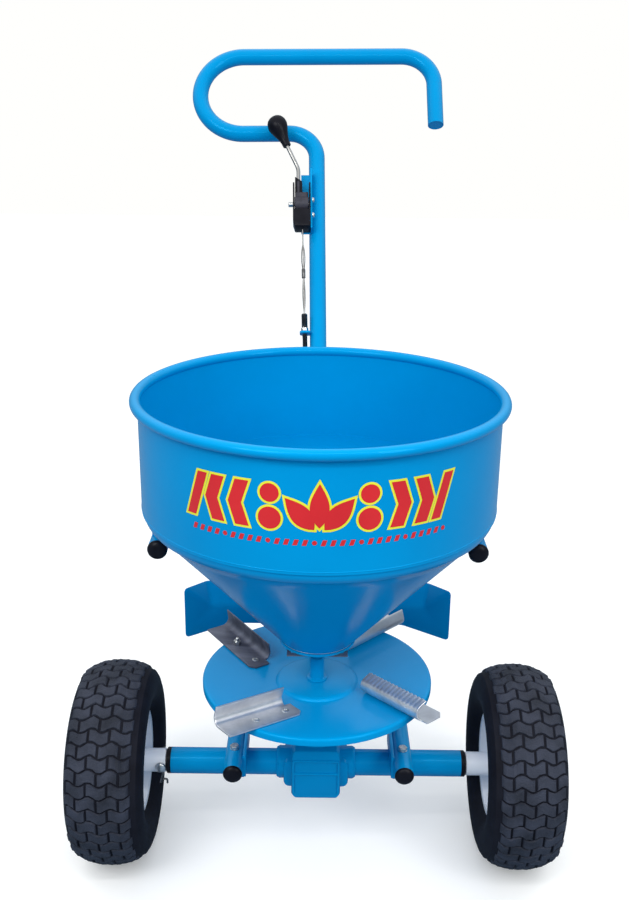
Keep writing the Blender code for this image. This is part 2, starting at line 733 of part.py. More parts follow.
def vane_profile(bend, lip):
    """Cross-section of a vane as (v, w): flat flange, bend and a lip that leans back over it."""
    low = VANE_LIFT
    mid = VANE_SHEET / 2
    path = [(VANE_WIDTH, low + mid)]
    centre = Vector((VANE_BEND_R, low + mid + VANE_BEND_R - mid))
    radius = VANE_BEND_R - mid
    steps = math.ceil(bend / 30)
    for i in range(steps + 1):
        turned = math.radians(-90.0 - bend * i / steps)
        path.append((centre.x + radius * math.cos(turned), centre.y + radius * math.sin(turned)))
    last = Vector(path[-1])
    lean = math.radians(bend)
    path.append(tuple(last + Vector((-math.cos(lean), math.sin(lean))) * lip))
    return strip(path, VANE_SHEET)


def vane(name, k, tab_out):
    """One vane with its two rivets; its web is cut away over the tab at its inner or outer end."""
    frame = vane_frame(k)
    start, end = TIP_VANE_REACH if tab_out else VANE_REACH
    outline = vane_profile(TIP_VANE_BEND, TIP_VANE_LIP) if tab_out else vane_profile(VANE_BEND, VANE_LIP)
    bm = plate(outline, (start, 0, 0), (0, 1, 0), (0, 0, 1), end - start)
    vane_body = add_object(name, place(bm, frame), "zinc", (0, 0, AXLE_Z))
    cut = (end - VANE_TAB, end + 0.01) if tab_out else (start - 0.01, start + VANE_TAB)
    lift = VANE_LIFT + VANE_SHEET + 0.0012
    notch = block((cut[0], -0.010, lift), (cut[1], 0.030, 0.05))
    carve(vane_body, place(notch, frame))
    for u in VANE_HOLES:
        face = VANE_LIFT + VANE_SHEET
        rivet = [(SCREW_R, -DISC_SHEET - 0.0022), (SCREW_R, face - 0.0008), (0.0058, face - 0.0008),
                 (0.0058, face + 0.0010), (0.0032, face + 0.0022)]
        rivet_body = turn(rivet, 8, closed=False)
        carve(vane_body, place(rivet_body, frame @ Matrix.Translation((u, VANE_HOLE_SIDE, 0))), "UNION")


def disc_nut():
    low = disc_z(0.0) + GAP
    bore = SHAFT_R + 2 * GAP
    profile = [(bore, low), (0.0165, low), (0.0165, low + 0.0025), (0.0115, low + 0.0030),
               (0.0115, DISC_NUT_TOP), (bore, DISC_NUT_TOP)]
    add_object("disc_nut", turn(profile, 16), "zinc", (0, 0, AXLE_Z))


def agitator():
    """Sleeve on the shaft's top with two bent fingers that stir the load over the ports."""
    low = OUTLET_TOP + 0.0030
    bore = SHAFT_R + GAP
    sleeve = ring_solid(SHAFT_R + 0.0040, bore, low, AGITATOR_TOP + 0.004, 24)
    stirrer = add_object("agitator", sleeve, "steel", (0, 0, AXLE_Z))
    for side in (-1, 1):
        z = low + 0.0075
        tip = (side * 0.0470, side * 0.006, z + 0.040)
        path = rounded([(side * 0.0110, 0, z), (side * 0.0400, 0, z), tip], 0.010, 30.0)
        carve(stirrer, sweep(path, 0.0030, 6), "UNION")


# Hopper

def hopper_shell():
    sheet = HOPPER_SHEET
    bead_low = BEAD_Z - math.sqrt(BEAD_R ** 2 - (BEAD_CENTRE_R - HOPPER_R) ** 2)
    profile = [(HOPPER_R, SEAM_Z), (HOPPER_R, bead_low)]
    first = math.atan2(bead_low - BEAD_Z, HOPPER_R - BEAD_CENTRE_R)
    last = math.radians(228.0)
    steps = 7
    first = first + 2 * math.pi if first < 0 else first
    for i in range(1, steps + 1):
        angle = first + (last + 2 * math.pi - first) * i / steps
        profile.append((BEAD_CENTRE_R + BEAD_R * math.cos(angle), BEAD_Z + BEAD_R * math.sin(angle)))
    profile = profile[:-1]
    profile += [(HOPPER_R - sheet, BEAD_Z - 0.0040), (HOPPER_R - sheet, SEAM_Z)]
    add_object("hopper_shell", turn(profile, HOPPER_SIDES), "blue")


def hopper_cone():
    """Cone with its rounded shoulder and the skirt that laps inside the cylinder."""
    sheet = HOPPER_SHEET
    skirt = HOPPER_R - sheet - GAP
    outside = [
        (skirt, SEAM_Z + SKIRT_OVERLAP), (skirt, SEAM_Z - 0.0050), (skirt - 0.0020, SEAM_Z - 0.0120),
        (SHOULDER_R, SHOULDER_Z + 0.0010), (CONE_TOP_R, SHOULDER_Z - 0.0020),
        (CONE_BOTTOM_R, CONE_BOTTOM_Z)]
    slope = math.atan2(CONE_TOP_R - CONE_BOTTOM_R, SHOULDER_Z - 0.0020 - CONE_BOTTOM_Z)
    inward = sheet / math.cos(slope)
    inside = [
        (CONE_BOTTOM_R - inward, CONE_BOTTOM_Z), (CONE_TOP_R - 0.0010, SHOULDER_Z + 0.0008),
        (SHOULDER_R - 0.0012, SHOULDER_Z + 0.0032), (skirt - 0.0020 - sheet, SEAM_Z - 0.0110),
        (skirt - sheet, SEAM_Z - 0.0040), (skirt - sheet, SEAM_Z + SKIRT_OVERLAP)]
    add_object("hopper_cone", turn(outside + inside, HOPPER_SIDES), "blue")


def outlet_plate():
    """Floor of the hopper: shaft hole, two ports, and the two guides that carry the shutter."""
    low = OUTLET_LOW
    body = ring_solid(OUTLET_R, SHAFT_R + 0.0010, low, OUTLET_TOP, 36)
    floor = add_object("outlet_plate", body, "blue")
    for side in (-1, 1):
        near, far = sorted((side * PORT_INNER_X, side * PORT_OUTER_X))
        carve(floor, block((near, PORT_FRONT_Y, low - 0.01), (far, PORT_FRONT_Y + PORT_LENGTH, low + 0.01)))
        lip = SHUTTER_LOW - RUN_GAP
        edge = SHUTTER_HALF_W + RUN_GAP
        outline = [(side * (edge - 0.0030), lip - 0.0015), (side * (edge + 0.0020), lip - 0.0015),
                   (side * (edge + 0.0020), low + 0.0005), (side * edge, low + 0.0005),
                   (side * edge, lip), (side * (edge - 0.0030), lip)]
        guide = plate(outline, (0, 0.0290, 0), (1, 0, 0), (0, 0, 1), 0.0580)
        carve(floor, guide, "UNION")


def shutter():
    """Sliding gate under the outlet, its windows closed by the plate until it is drawn back."""
    outline = [
        (-SHUTTER_HALF_W, SHUTTER_FRONT_Y), (SHUTTER_HALF_W, SHUTTER_FRONT_Y),
        (SHUTTER_HALF_W, SHUTTER_REAR_Y), (TAIL_HALF_W, SHUTTER_REAR_Y + 0.020),
        (TAIL_HALF_W, TAIL_REAR_Y), (-TAIL_HALF_W, TAIL_REAR_Y),
        (-TAIL_HALF_W, SHUTTER_REAR_Y + 0.020), (-SHUTTER_HALF_W, SHUTTER_REAR_Y)]
    body = plate(outline, (0, 0, SHUTTER_LOW), (1, 0, 0), (0, 1, 0), SHUTTER_SHEET)
    gate = add_object("shutter", body, "zinc", (0, 0, SHUTTER_LOW))
    slot = SHAFT_R + 0.0015
    carve(gate, block((-slot, -slot - SHUTTER_TRAVEL, 0.38), (slot, slot, 0.41)))
    pull = rod_solid(WIRE_R, TAIL_REAR_Y - 0.0100, FERRULE_Y[0] + 0.0060, 8, "Y", (TAIL_X, 0, CABLE_END_Z))
    carve(gate, pull, "UNION")
    for side in (-1, 1):
        near, far = sorted((side * PORT_INNER_X, side * PORT_OUTER_X))
        rear = PORT_FRONT_Y - 0.0015
        carve(gate, block((near, rear - PORT_LENGTH, 0.38), (far, rear, 0.41)))


# Frame

def upright_bend():
    """Where the upright's vertical line meets the leaning line of the handle post."""
    return POST_FOOT + POST_DIR * ((UPRIGHT_Y - HANDLE_Y) / POST_DIR.y)


def upright():
    bend = upright_bend()
    top = POST_FOOT + POST_DIR * SOCKET_END_S
    path = rounded([(bend.x, UPRIGHT_Y, FOOT_SOLE + GAP), bend, top], UPRIGHT_BEND_R, 12.0)
    tube = sweep(path, UPRIGHT_R, 16, UPRIGHT_R - UPRIGHT_WALL)
    post = add_object("upright", tube, "blue")
    carve(post, place(cross_hole(), post_frame()))


def cross_hole():
    """The clamp bolt's hole, made in the handle's own axes."""
    return rod_solid(CLAMP_BOLT_R + GAP, -0.03, 0.03, 10, "X", (0, 0, HANDLE_BOLT_S))


def foot():
    bend = upright_bend()
    bore = UPRIGHT_R + 2 * GAP
    profile = [(FOOT_R, 0.0), (FOOT_R, 0.0100), (bore + 0.0040, FOOT_H), (bore, FOOT_H), (bore, FOOT_SOLE)]
    add_object("foot", turn(profile, 16, "Z", (bend.x, UPRIGHT_Y, 0), closed=False), "rubber")


def side_tube(x, front, z, bend_r):
    """A frame tube that runs back beside the machine and turns in to the upright."""
    end = upright_bend().x
    path = rounded([(x, front, z), (x, UPRIGHT_Y, z), (end, UPRIGHT_Y, z)], bend_r, 18.0)
    return sweep(path, RAIL_R, TUBE_SIDES, RAIL_R - RAIL_WALL)


def cope(obj):
    bend = upright_bend()
    carve(obj, rod_solid(UPRIGHT_R + 2 * GAP, 0.05, 0.66, 20, "Z", (bend.x, UPRIGHT_Y, 0)))


def rail(side):
    """Lower side tube lying on the axle tube, with the notched cheek welded to its inner side."""
    x = FRAME_X + side * RAIL_GAUGE / 2
    tube = add_object(side_name("rail", side), side_tube(x, RAIL_FRONT_Y, RAIL_Z, RAIL_BEND_R), "blue")
    near = x - side * (RAIL_R - 0.0016)
    cheek = block((min(near, near - side * CHEEK_SHEET), -CHEEK_HALF, AXLE_Z + 0.0070),
                  (max(near, near - side * CHEEK_SHEET), CHEEK_HALF, RAIL_Z + 0.0085))
    carve(tube, cheek, "UNION")
    carve(tube, rod_solid(AXLE_TUBE_R + 2 * GAP, -0.25, 0.25, 24, "X", (0, 0, AXLE_Z)))
    for y in (-CLAMP_BOLT_Y, CLAMP_BOLT_Y):
        carve(tube, rod_solid(CLAMP_BOLT_R + GAP, RAIL_Z - 0.02, RAIL_Z + 0.02, 10, "Z", (x, y, 0)))
    cope(tube)


def saddle(side):
    """Strap under the axle tube with its nuts welded on."""
    x = FRAME_X + side * RAIL_GAUGE / 2
    top = RAIL_Z - RAIL_R - GAP - SADDLE_SHEET / 2
    radius = AXLE_TUBE_R + GAP + SADDLE_SHEET / 2 + 0.0006
    path = [(-SADDLE_EAR, top), (-radius - 0.0030, top), (-radius, top - 0.0040)]
    for i in range(7):
        angle = math.pi + math.pi * i / 6
        path.append((radius * math.cos(angle), AXLE_Z + radius * math.sin(angle)))
    path += [(radius, top - 0.0040), (radius + 0.0030, top), (SADDLE_EAR, top)]
    strap = plate(strip(path, SADDLE_SHEET), (x - SADDLE_W / 2, 0, 0), (0, 1, 0), (0, 0, 1), SADDLE_W)
    clamp = add_object(side_name("axle_saddle", side), strap, "blue")
    for y in (-CLAMP_BOLT_Y, CLAMP_BOLT_Y):
        low = top - SADDLE_SHEET / 2
        carve(clamp, rod_solid(0.0075, low - 0.0060, low + 0.001, 6, "Z", (x, y, 0)), "UNION")
        carve(clamp, rod_solid(CLAMP_BOLT_R + GAP, low - 0.02, top + 0.02, 12, "Z", (x, y, 0)))
        where = "front" if y < 0 else "rear"
        head = RAIL_Z + RAIL_R
        body = bolt(CLAMP_BOLT_R, head - low + 0.0100, "Z", (x, y, head))
        add_object(side_name(f"clamp_bolt_{where}", side), body, "zinc")


def arm(side):
    """Upper side tube that carries the hopper on the pad welded to its top."""
    x = ARM_X + side * ARM_SPACING / 2
    tube = add_object(side_name("hopper_arm", side), side_tube(x, ARM_FRONT_Y, ARM_Z, ARM_BEND_R), "blue")
    pad = block((x - 0.0100, -0.0300, ARM_Z + RAIL_R - 0.0015), (x + 0.0100, 0.0300, SHOULDER_Z))
    off = 2 * GAP
    hopper = [
        (CONE_BOTTOM_R + off, CONE_BOTTOM_Z - off), (CONE_TOP_R + off, SHOULDER_Z - 0.0020 - off),
        (SHOULDER_R + off, SHOULDER_Z + 0.0010 - off), (SHOULDER_R + off, SEAM_Z + 0.02)]
    pad_body = add_object(side_name("tool_pad", side), pad, "grey")
    pad_body.hide_render = True
    pad_body.display_type = "WIRE"
    carve(pad_body, turn(hopper, HOPPER_SIDES, closed=False))
    weld = tube.modifiers.new("pad", "BOOLEAN")
    weld.operation = "UNION"
    weld.solver = "EXACT"
    weld.object = pad_body
    cope(tube)


def plug(name, x, y, z):
    """Domed plug in the open front end of a frame tube."""
    bore = RAIL_R - RAIL_WALL - 2 * GAP
    profile = [
        (bore, y + PLUG_DEPTH), (bore, y - GAP), (RAIL_R, y - GAP), (RAIL_R, y - GAP - PLUG_FLANGE),
        (RAIL_R * 0.5, y - PLUG_FLANGE - PLUG_DOME)]
    add_object(name, turn(profile, 12, "Y", (x, 0, z), closed=False), "black")


def plugs():
    for side in (-1, 1):
        plug(side_name("rail_plug", side), FRAME_X + side * RAIL_GAUGE / 2, RAIL_FRONT_Y, RAIL_Z)
        plug(side_name("arm_plug", side), ARM_X + side * ARM_SPACING / 2, ARM_FRONT_Y, ARM_Z)


def shield():
    """Bent sheet behind the disc, with its tab to the upright."""
    points = {
        "a": (SHIELD_LOW_HALF_W, SHIELD_Y, SHIELD_LOW_Z), "b": (SHIELD_HALF_W, SHIELD_Y, SHIELD_HIGH_Z),
        "c": (SHIELD_TIP_X, SHIELD_TIP_Y, SHIELD_TIP_LOW_Z),
        "d": (SHIELD_TIP_X, SHIELD_TIP_Y, SHIELD_TIP_HIGH_Z),
        "e": (SHIELD_TOP_HALF_W, SHIELD_TOP_Y, SHIELD_TOP_Z)}
    bm = bmesh.new()
    verts = {}
    for side in (-1, 1):
        for key, (x, y, z) in points.items():
            verts[key, side] = bm.verts.new((side * x, y, z))
    faces = [("a-", "a+", "b+", "b-"), ("b-", "b+", "e+", "e-"), ("a+", "c+", "b+"),
             ("b+", "c+", "d+"), ("b+", "d+", "e+"), ("a-", "b-", "c-"), ("b-", "d-", "c-"),
             ("b-", "e-", "d-")]
    for face in faces:
        bm.faces.new([verts[key[0], -1 if key[1] == "-" else 1] for key in face])
    sheet = add_object("shield", bm, "blue")
    solid = sheet.modifiers.new("sheet", "SOLIDIFY")
    solid.thickness = SHIELD_SHEET
    solid.offset = -1.0
    solid.use_even_offset = True
    bend = upright_bend()
    face = UPRIGHT_Y - UPRIGHT_R - GAP
    tab = block((bend.x - 0.0120, SHIELD_Y - 0.0002, SHIELD_LOW_Z + 0.0040),
                (bend.x + 0.0120, face, SHIELD_LOW_Z + 0.0300))
    carve(sheet, tab, "UNION")


# Handle and shutter control

def handle():
    """Bent handle tube with the lever's bracket and the cable adjuster's tab welded to it."""
    flat = [(0.0, HANDLE_FOOT_S), (0.0, LOWER_BAR_S), (GRIP_LEFT_X, LOWER_BAR_S), (GRIP_LEFT_X, TOP_BAR_S),
            (GRIP_RIGHT_X, TOP_BAR_S), (GRIP_RIGHT_X, GRIP_END_S)]
    loop = (TOP_BAR_S - LOWER_BAR_S) / 2 - 0.0001
    path = rounded([(x, 0, s) for x, s in flat], [CORNER_R, loop, loop, RIGHT_BEND_R], 26.0)
    bar = sweep(path, HANDLE_R, TUBE_SIDES, HANDLE_R - HANDLE_WALL)
    tube = add_object("handle_tube", place(bar, post_frame()), "blue", POST_FOOT)
    stopper = rod_solid(HANDLE_R - HANDLE_WALL / 2, GRIP_END_S + 0.0005, GRIP_END_S + 0.0035, 12, "Z",
                        (GRIP_RIGHT_X, 0, 0))
    carve(tube, place(stopper, post_frame()), "UNION")
    fin = BRACKET_FIN_X + PLATE_T / 2
    plan = strip([(LEVER_X - 0.0010, -BRACKET_F), (fin, -BRACKET_F), (fin, -BRACKET_F - 0.0270)], PLATE_T)
    bracket = plate(plan, (0, 0, CAP_LOW_S - 0.0010), (1, 0, 0), (0, 1, 0), 0.1200)
    carve(tube, place(bracket, post_frame()), "UNION")
    for s in BRACKET_RIVETS:
        head = turn([(0.0048, fin), (0.0048, fin + 0.0042), (0.0026, fin + 0.0060)], 8, "X",
                    (0, -LEVER_F, s), closed=False)
        carve(tube, place(head, post_frame()), "UNION")
    tab = block((WIRE_LOW[0] - 0.0090, -WIRE_LOW[1] - 0.0090, ADJUSTER_NUT_S - 0.0085),
                (-HANDLE_R + 0.0012, -WIRE_LOW[1] + 0.0090, ADJUSTER_NUT_S - 0.0045))
    carve(tube, place(tab, post_frame()), "UNION")
    carve(tube, wire_rod(ADJUSTER_R - 0.0010 + GAP, 12, -0.02, 0.03))
    carve(tube, place(cross_hole(), post_frame()))


def wire_point(s):
    """A point of the straight wire line between the adjuster and the lever housing."""
    t = (s - ADJUSTER_NUT_S) / (CAP_LOW_S - ADJUSTER_NUT_S)
    x = WIRE_LOW[0] + (WIRE_HIGH[0] - WIRE_LOW[0]) * t
    f = WIRE_LOW[1] + (WIRE_HIGH[1] - WIRE_LOW[1]) * t
    return post_frame() @ Vector((x, -f, s))


def wire_rod(radius, sides, low, high, bore=0.0):
    return sweep([wire_point(low), wire_point(high)], radius, sides, bore)


def handle_bolt():
    body = bolt(CLAMP_BOLT_R, 2 * UPRIGHT_R + 0.0120, "X", (-UPRIGHT_R, 0, HANDLE_BOLT_S), facing=-1)
    add_object("handle_bolt", place(body, post_frame()), "zinc")


def lever_housing():
    """Black housing: tapered cap below, two cheeks above with the lever's drum between them."""
    near = LEVER_X - BODY_W / 2
    far = LEVER_X + BODY_W / 2
    back = -LEVER_F + BODY_D / 2
    front = -LEVER_F - BODY_D / 2
    outline = [
        (near + 0.0035, CAP_LOW_S), (far - 0.0020, CAP_LOW_S), (far, CAP_LOW_S + 0.0040),
        (far, GUARD_HIGH_S - 0.0040), (far - 0.0020, GUARD_HIGH_S), (near + 0.0020, GUARD_HIGH_S),
        (near, GUARD_HIGH_S - 0.0040), (near, CAP_LOW_S + 0.0120)]
    body = plate(outline, (0, back, 0), (1, 0, 0), (0, 0, 1), BODY_D)
    housing = add_object("lever_housing", place(body, post_frame()), "black")
    slot = DRUM_W / 2 + RUN_GAP
    hollow = block((LEVER_X - slot, front - 0.01, PIVOT_S - DRUM_R - RUN_GAP),
                   (LEVER_X + slot, back + 0.01, GUARD_HIGH_S + 0.01))
    carve(housing, place(hollow, post_frame()))
    carve(housing, wire_rod(0.0035, 8, CAP_LOW_S - 0.01, PIVOT_S - DRUM_R + 0.003))
    pivot = rod_solid(PIVOT_PIN_R + GAP, near - 0.01, far + 0.01, 12, "X", (0, -LEVER_F, PIVOT_S))
    carve(housing, place(pivot, post_frame()))


def lever_drum():
    """Grey drum and blade that turn between the cheeks."""
    pivot = post_frame() @ Vector((LEVER_X, -LEVER_F, PIVOT_S))
    half = DRUM_W / 2
    drum = rod_solid(DRUM_R, LEVER_X - half, LEVER_X + half, 20, "X", (0, -LEVER_F, PIVOT_S))
    body = add_object("lever_drum", place(drum, post_frame()), "grey", pivot)
    side = half - 0.0010
    blade = block((LEVER_X - side, -LEVER_F - 0.0080, PIVOT_S),
                  (LEVER_X + side, -LEVER_F + 0.0060, PIVOT_S + 0.0220))
    carve(body, place(blade, post_frame()), "UNION")
    neck = block((ROD_X[0] - 0.0055, -LEVER_F - 0.0055, PIVOT_S + 0.0200),
                 (ROD_X[0] + 0.0055, -LEVER_F + 0.0055, PIVOT_S + 0.0480))
    carve(body, place(neck, post_frame()), "UNION")
    carve(body, place(rod_solid(ROD_R + GAP, PIVOT_S + 0.0300, 0.35, 12, "Z", (ROD_X[0], -LEVER_F, 0)),
                      post_frame()))
    bore = rod_solid(PIVOT_PIN_R + GAP, LEVER_X - 0.03, LEVER_X + 0.03, 12, "X", (0, -LEVER_F, PIVOT_S))
    carve(body, place(bore, post_frame()))


def lever_rod():
    pivot = post_frame() @ Vector((LEVER_X, -LEVER_F, PIVOT_S))
    points = [(ROD_X[0], -LEVER_F, PIVOT_S + 0.0303), (ROD_X[0], -LEVER_F, ROD_S[0]),
              (ROD_X[1], -ROD_F[0], ROD_S[1]), (ROD_X[2], -ROD_F[1], ROD_S[2])]
    path = rounded(points, [0.030, 0.060], 12.0)
    add_object("lever_rod", place(sweep(path, ROD_R, 12), post_frame()), "steel", pivot)


def lever_knob():
    """Pear-shaped knob pushed over the end of the rod."""
    pivot = post_frame() @ Vector((LEVER_X, -LEVER_F, PIVOT_S))
    low = Vector((ROD_X[1], -ROD_F[0], ROD_S[1]))
    reach = Vector((ROD_X[2], -ROD_F[1], ROD_S[2])) - low
    along = reach.normalized()
    start = low + along * 0.0050
    bottom = reach.length - 0.0036
    length = bottom + 0.0185
    profile = [
        (ROD_R + 0.0005, 0.0), (KNOB_NECK_R, 0.0), (KNOB_NECK_R + 0.0008, 0.0110), (0.0120, 0.0237),
        (KNOB_R - 0.0012, length - 0.0264), (KNOB_R, length - 0.0182), (KNOB_R - 0.0035, length - 0.0091),
        (0.0080, length - 0.0018), (0.0030, length), (0.0015, length - 0.0010), (0.0015, bottom + 0.0020),
        (ROD_R + 0.0005, bottom)]
    knob = turn(profile, 20)
    tilt = Vector((0, 0, 1)).rotation_difference(along).to_matrix().to_4x4()
    place(knob, post_frame() @ Matrix.Translation(start) @ tilt)
    add_object("lever_knob", knob, "black", pivot)


def lever_pin():
    near = LEVER_X - BODY_W / 2 - 0.0085
    seat = LEVER_X - BODY_W / 2 - GAP
    far = LEVER_X + BODY_W / 2 - 0.0003
    head_r = PIVOT_PIN_R * 1.5
    profile = [(head_r - 0.0010, near), (head_r, near + 0.001), (head_r, seat), (PIVOT_PIN_R, seat),
               (PIVOT_PIN_R, far)]
    pin = turn(profile, 12, "X", (0, -LEVER_F, PIVOT_S), closed=False)
    add_object("lever_pin", place(pin, post_frame()), "zinc")


def control_wire():
    """Inner wire from the lever housing into the adjuster, with its crimp."""
    low = ADJUSTER_TOP_S - WIRE_TRAVEL - 0.0060
    wire = wire_rod(WIRE_R, 8, low, PIVOT_S - DRUM_R - RUN_GAP - WIRE_TRAVEL - 0.0003)
    strand = add_object("control_wire", wire, "steel", wire_point(low))
    carve(strand, wire_rod(0.0034, 10, *CRIMP_S), "UNION")


def adjuster():
    """Threaded adjuster with its nut and sleeve, bored for the wire."""
    top = ADJUSTER_TOP_S
    body = add_object("cable_adjuster", wire_rod(ADJUSTER_R - 0.0010, 12, ADJUSTER_LOW_S, top), "steel")
    carve(body, wire_rod(ADJUSTER_R + 0.0010, 6, ADJUSTER_NUT_S - 0.0034, ADJUSTER_NUT_S + 0.0030), "UNION")
    carve(body, wire_rod(ADJUSTER_R, 12, ADJUSTER_NUT_S + 0.0020, top), "UNION")
    carve(body, wire_rod(WIRE_R + 0.0008, 8, ADJUSTER_LOW_S + 0.0030, top + 0.01))


def cable_path():
    """Centre line of the outer cable, from the adjuster down to the stop behind the shutter."""
    start = wire_point(ADJUSTER_LOW_S - 0.0005)
    lead = wire_point(ADJUSTER_LOW_S - 0.0140)
    beside = post_frame() @ Vector((-0.0330, -0.0060, HANDLE_BOLT_S - 0.0120))
    bend = upright_bend()
    side_x = bend.x - UPRIGHT_R - 0.0170
    y_drop = UPRIGHT_Y - 0.0230
    corners = [start, lead, beside, Vector((side_x, y_drop, 0.6500)), Vector((side_x, y_drop, 0.4700)),
               Vector((TAIL_X, 0.2560, CABLE_END_Z)), Vector((TAIL_X, FERRULE_Y[1] + 0.0005, CABLE_END_Z))]
    return rounded(corners, [0.020, 0.040, 0.040, 0.050, 0.022], 15.0)


def cable():
    """Outer cable as one round cord along its route."""
    line = bpy.data.curves.new("cable", "CURVE")
    line.dimensions = "3D"
    spline = line.splines.new("POLY")
    points = cable_path()
    spline.points.add(len(points) - 1)
    for point, place_at in zip(spline.points, points):
        point.co = (*place_at, 1.0)
    line.bevel_depth = CABLE_R
    line.bevel_resolution = 2
    line.use_fill_caps = True
    line.materials.append(paint("cable", *FINISHES["black"]))
    cord = bpy.data.objects.new("control_cable", line)
    cord.parent = bpy.data.objects["machine"]
    bpy.context.scene.collection.objects.link(cord)


def cable_stop():
    """Stop for the cable's lower end, on an arm that reaches forward from the upright."""
    z = CABLE_END_Z
    bend = upright_bend()
    body = rod_solid(FERRULE_R, FERRULE_Y[0], FERRULE_Y[1], 12, "Y", (TAIL_X, 0, z))
    stop = add_object("cable_stop", body, "zinc")
    reach = block((bend.x - 0.0100, FERRULE_Y[0] + 0.0060, z - FERRULE_R - 0.0020),
                  (bend.x + 0.0100, UPRIGHT_Y - UPRIGHT_R - GAP, z - FERRULE_R + 0.0010))
    carve(stop, reach, "UNION")
    bore = rod_solid(WIRE_R + 0.0010, FERRULE_Y[0] - 0.01, FERRULE_Y[1] - 0.0020, 8, "Y", (TAIL_X, 0, z))
    carve(stop, bore)


def disc_z(radius):
    """Height of the top of the spinner disc at a radius from its shaft."""
    if radius >= PLATEAU_R:
        return DISC_EDGE_Z - DISC_DISH * (DISC_R - radius)
    floor = DISC_EDGE_Z - DISC_DISH * (DISC_R - PLATEAU_R)
    rise = min(1.0, (PLATEAU_R - radius) / (PLATEAU_R - PLATEAU_TOP_R))
    return floor + PLATEAU_H * rise


def main():
    clear_scene()
    machine = bpy.data.objects.new("machine", None)
    machine.location = (0.0, AXLE_Y, 0.0)
    bpy.context.scene.collection.objects.link(machine)
    for side in (-1, 1):
        tyre(side)
        rim(side)
        axle_nut(side)
        axle_tube(side)
        axle_bearing(side)
    axle_shaft()
    drive_pin()
    gearbox_case()
    gearbox_cover()
    shaft_bush()
    gears()
    disc_shaft()
    disc()
    for k, where in enumerate(("right_rear", "left_rear", "left_front", "right_front")):
        vane(f"vane_{where}", k, tab_out=(where == "right_front"))
    disc_nut()
    agitator()
    hopper_shell()
    hopper_cone()
    outlet_plate()
    shutter()
    upright()
    foot()
    for side in (-1, 1):
        rail(side)
        saddle(side)
        arm(side)
    plugs()
    shield()
    handle()
    handle_bolt()
    lever_housing()
    lever_drum()
    lever_rod()
    lever_knob()
    lever_pin()
    control_wire()
    adjuster()
    cable()
    cable_stop()


main()
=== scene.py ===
"""Looks of the push-along fertilizer spreader: studio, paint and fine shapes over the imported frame.

The machine is modelled with its axle at Y = 0, as in the part; AXLE_Y moves it into the frame.
"""
import json
import math

import bmesh
import bpy
from mathutils import Matrix, Vector, noise


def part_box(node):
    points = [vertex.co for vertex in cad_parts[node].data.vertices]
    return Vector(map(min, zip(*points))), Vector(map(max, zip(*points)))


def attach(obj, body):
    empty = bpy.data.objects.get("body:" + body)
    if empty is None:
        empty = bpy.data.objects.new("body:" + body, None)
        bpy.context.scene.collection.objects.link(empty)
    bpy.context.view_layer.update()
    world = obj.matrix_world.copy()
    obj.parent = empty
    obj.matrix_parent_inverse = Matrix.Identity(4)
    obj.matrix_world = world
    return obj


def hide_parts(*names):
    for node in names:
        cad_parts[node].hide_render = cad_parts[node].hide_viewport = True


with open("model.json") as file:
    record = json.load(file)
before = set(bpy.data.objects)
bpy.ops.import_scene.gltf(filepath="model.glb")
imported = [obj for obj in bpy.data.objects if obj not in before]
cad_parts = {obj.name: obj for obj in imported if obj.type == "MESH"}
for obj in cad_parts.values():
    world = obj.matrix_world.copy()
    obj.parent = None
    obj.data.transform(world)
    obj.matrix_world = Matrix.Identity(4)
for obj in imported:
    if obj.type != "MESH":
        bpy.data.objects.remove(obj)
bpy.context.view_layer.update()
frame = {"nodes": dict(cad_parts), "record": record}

SIDES = ((-1, "left"), (1, "right"))

# Sizes shared with the part
AXLE_Z = 0.165
AXLE = (0.0, 0.0, AXLE_Z)
AXLE_R = 0.0100
AXLE_BORE_R = 0.0104
AXLE_TUBE_R = 0.0212
WHEEL_X = 0.328
TYRE_R = 0.165
RIM_SEAT_R = 0.0762
RIM_FLANGE_R = 0.0845
RIM_HALF = 0.0445
HUB_R = 0.0190
HUB_INNER_X = 0.2475
HUB_OUTER_X = 0.3745
HOPPER_R = 0.2656
HOPPER_SHEET = 0.0020
BEAD_R = 0.0080
BEAD_CENTRE_R = 0.2688
BEAD_Z = 0.7980
BEAD_START = -113.6
BEAD_SWEEP = 343.1
SEAM_Z = 0.6340
SHOULDER_R = 0.2500
SHOULDER_Z = 0.6145
CONE_BOTTOM_R = 0.0570
CONE_BOTTOM_Z = 0.4000
DISC_R = 0.1830
DISC_EDGE_Z = 0.3330
DISC_DISH = 0.109
DISC_SHEET = 0.0025
PLATEAU_R = 0.0620
SHAFT_R = 0.0090
RAIL_R = 0.0150
RAIL_Z = 0.2015
RAIL_X = 0.13525
RAIL_FRONT_Y = -0.0850
FRAME_X = 0.0040
ARM_X = 0.2395
ARM_MID_X = -0.0010
ARM_Z = 0.5700
ARM_FRONT_Y = -0.0500
UPRIGHT_Y = 0.3000
UPRIGHT_R = 0.0190
HANDLE_Y = 0.3750
HANDLE_Z = 0.7900
HANDLE_MID_X = -0.0042
HANDLE_R = 0.0150
TUBE_WALL = 0.0020
GAP = 0.0003

# The machine's place in the frame, read from the axle shaft
axle_low, axle_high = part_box("axle_shaft")
AXLE_Y = (axle_low[1] + axle_high[1]) / 2

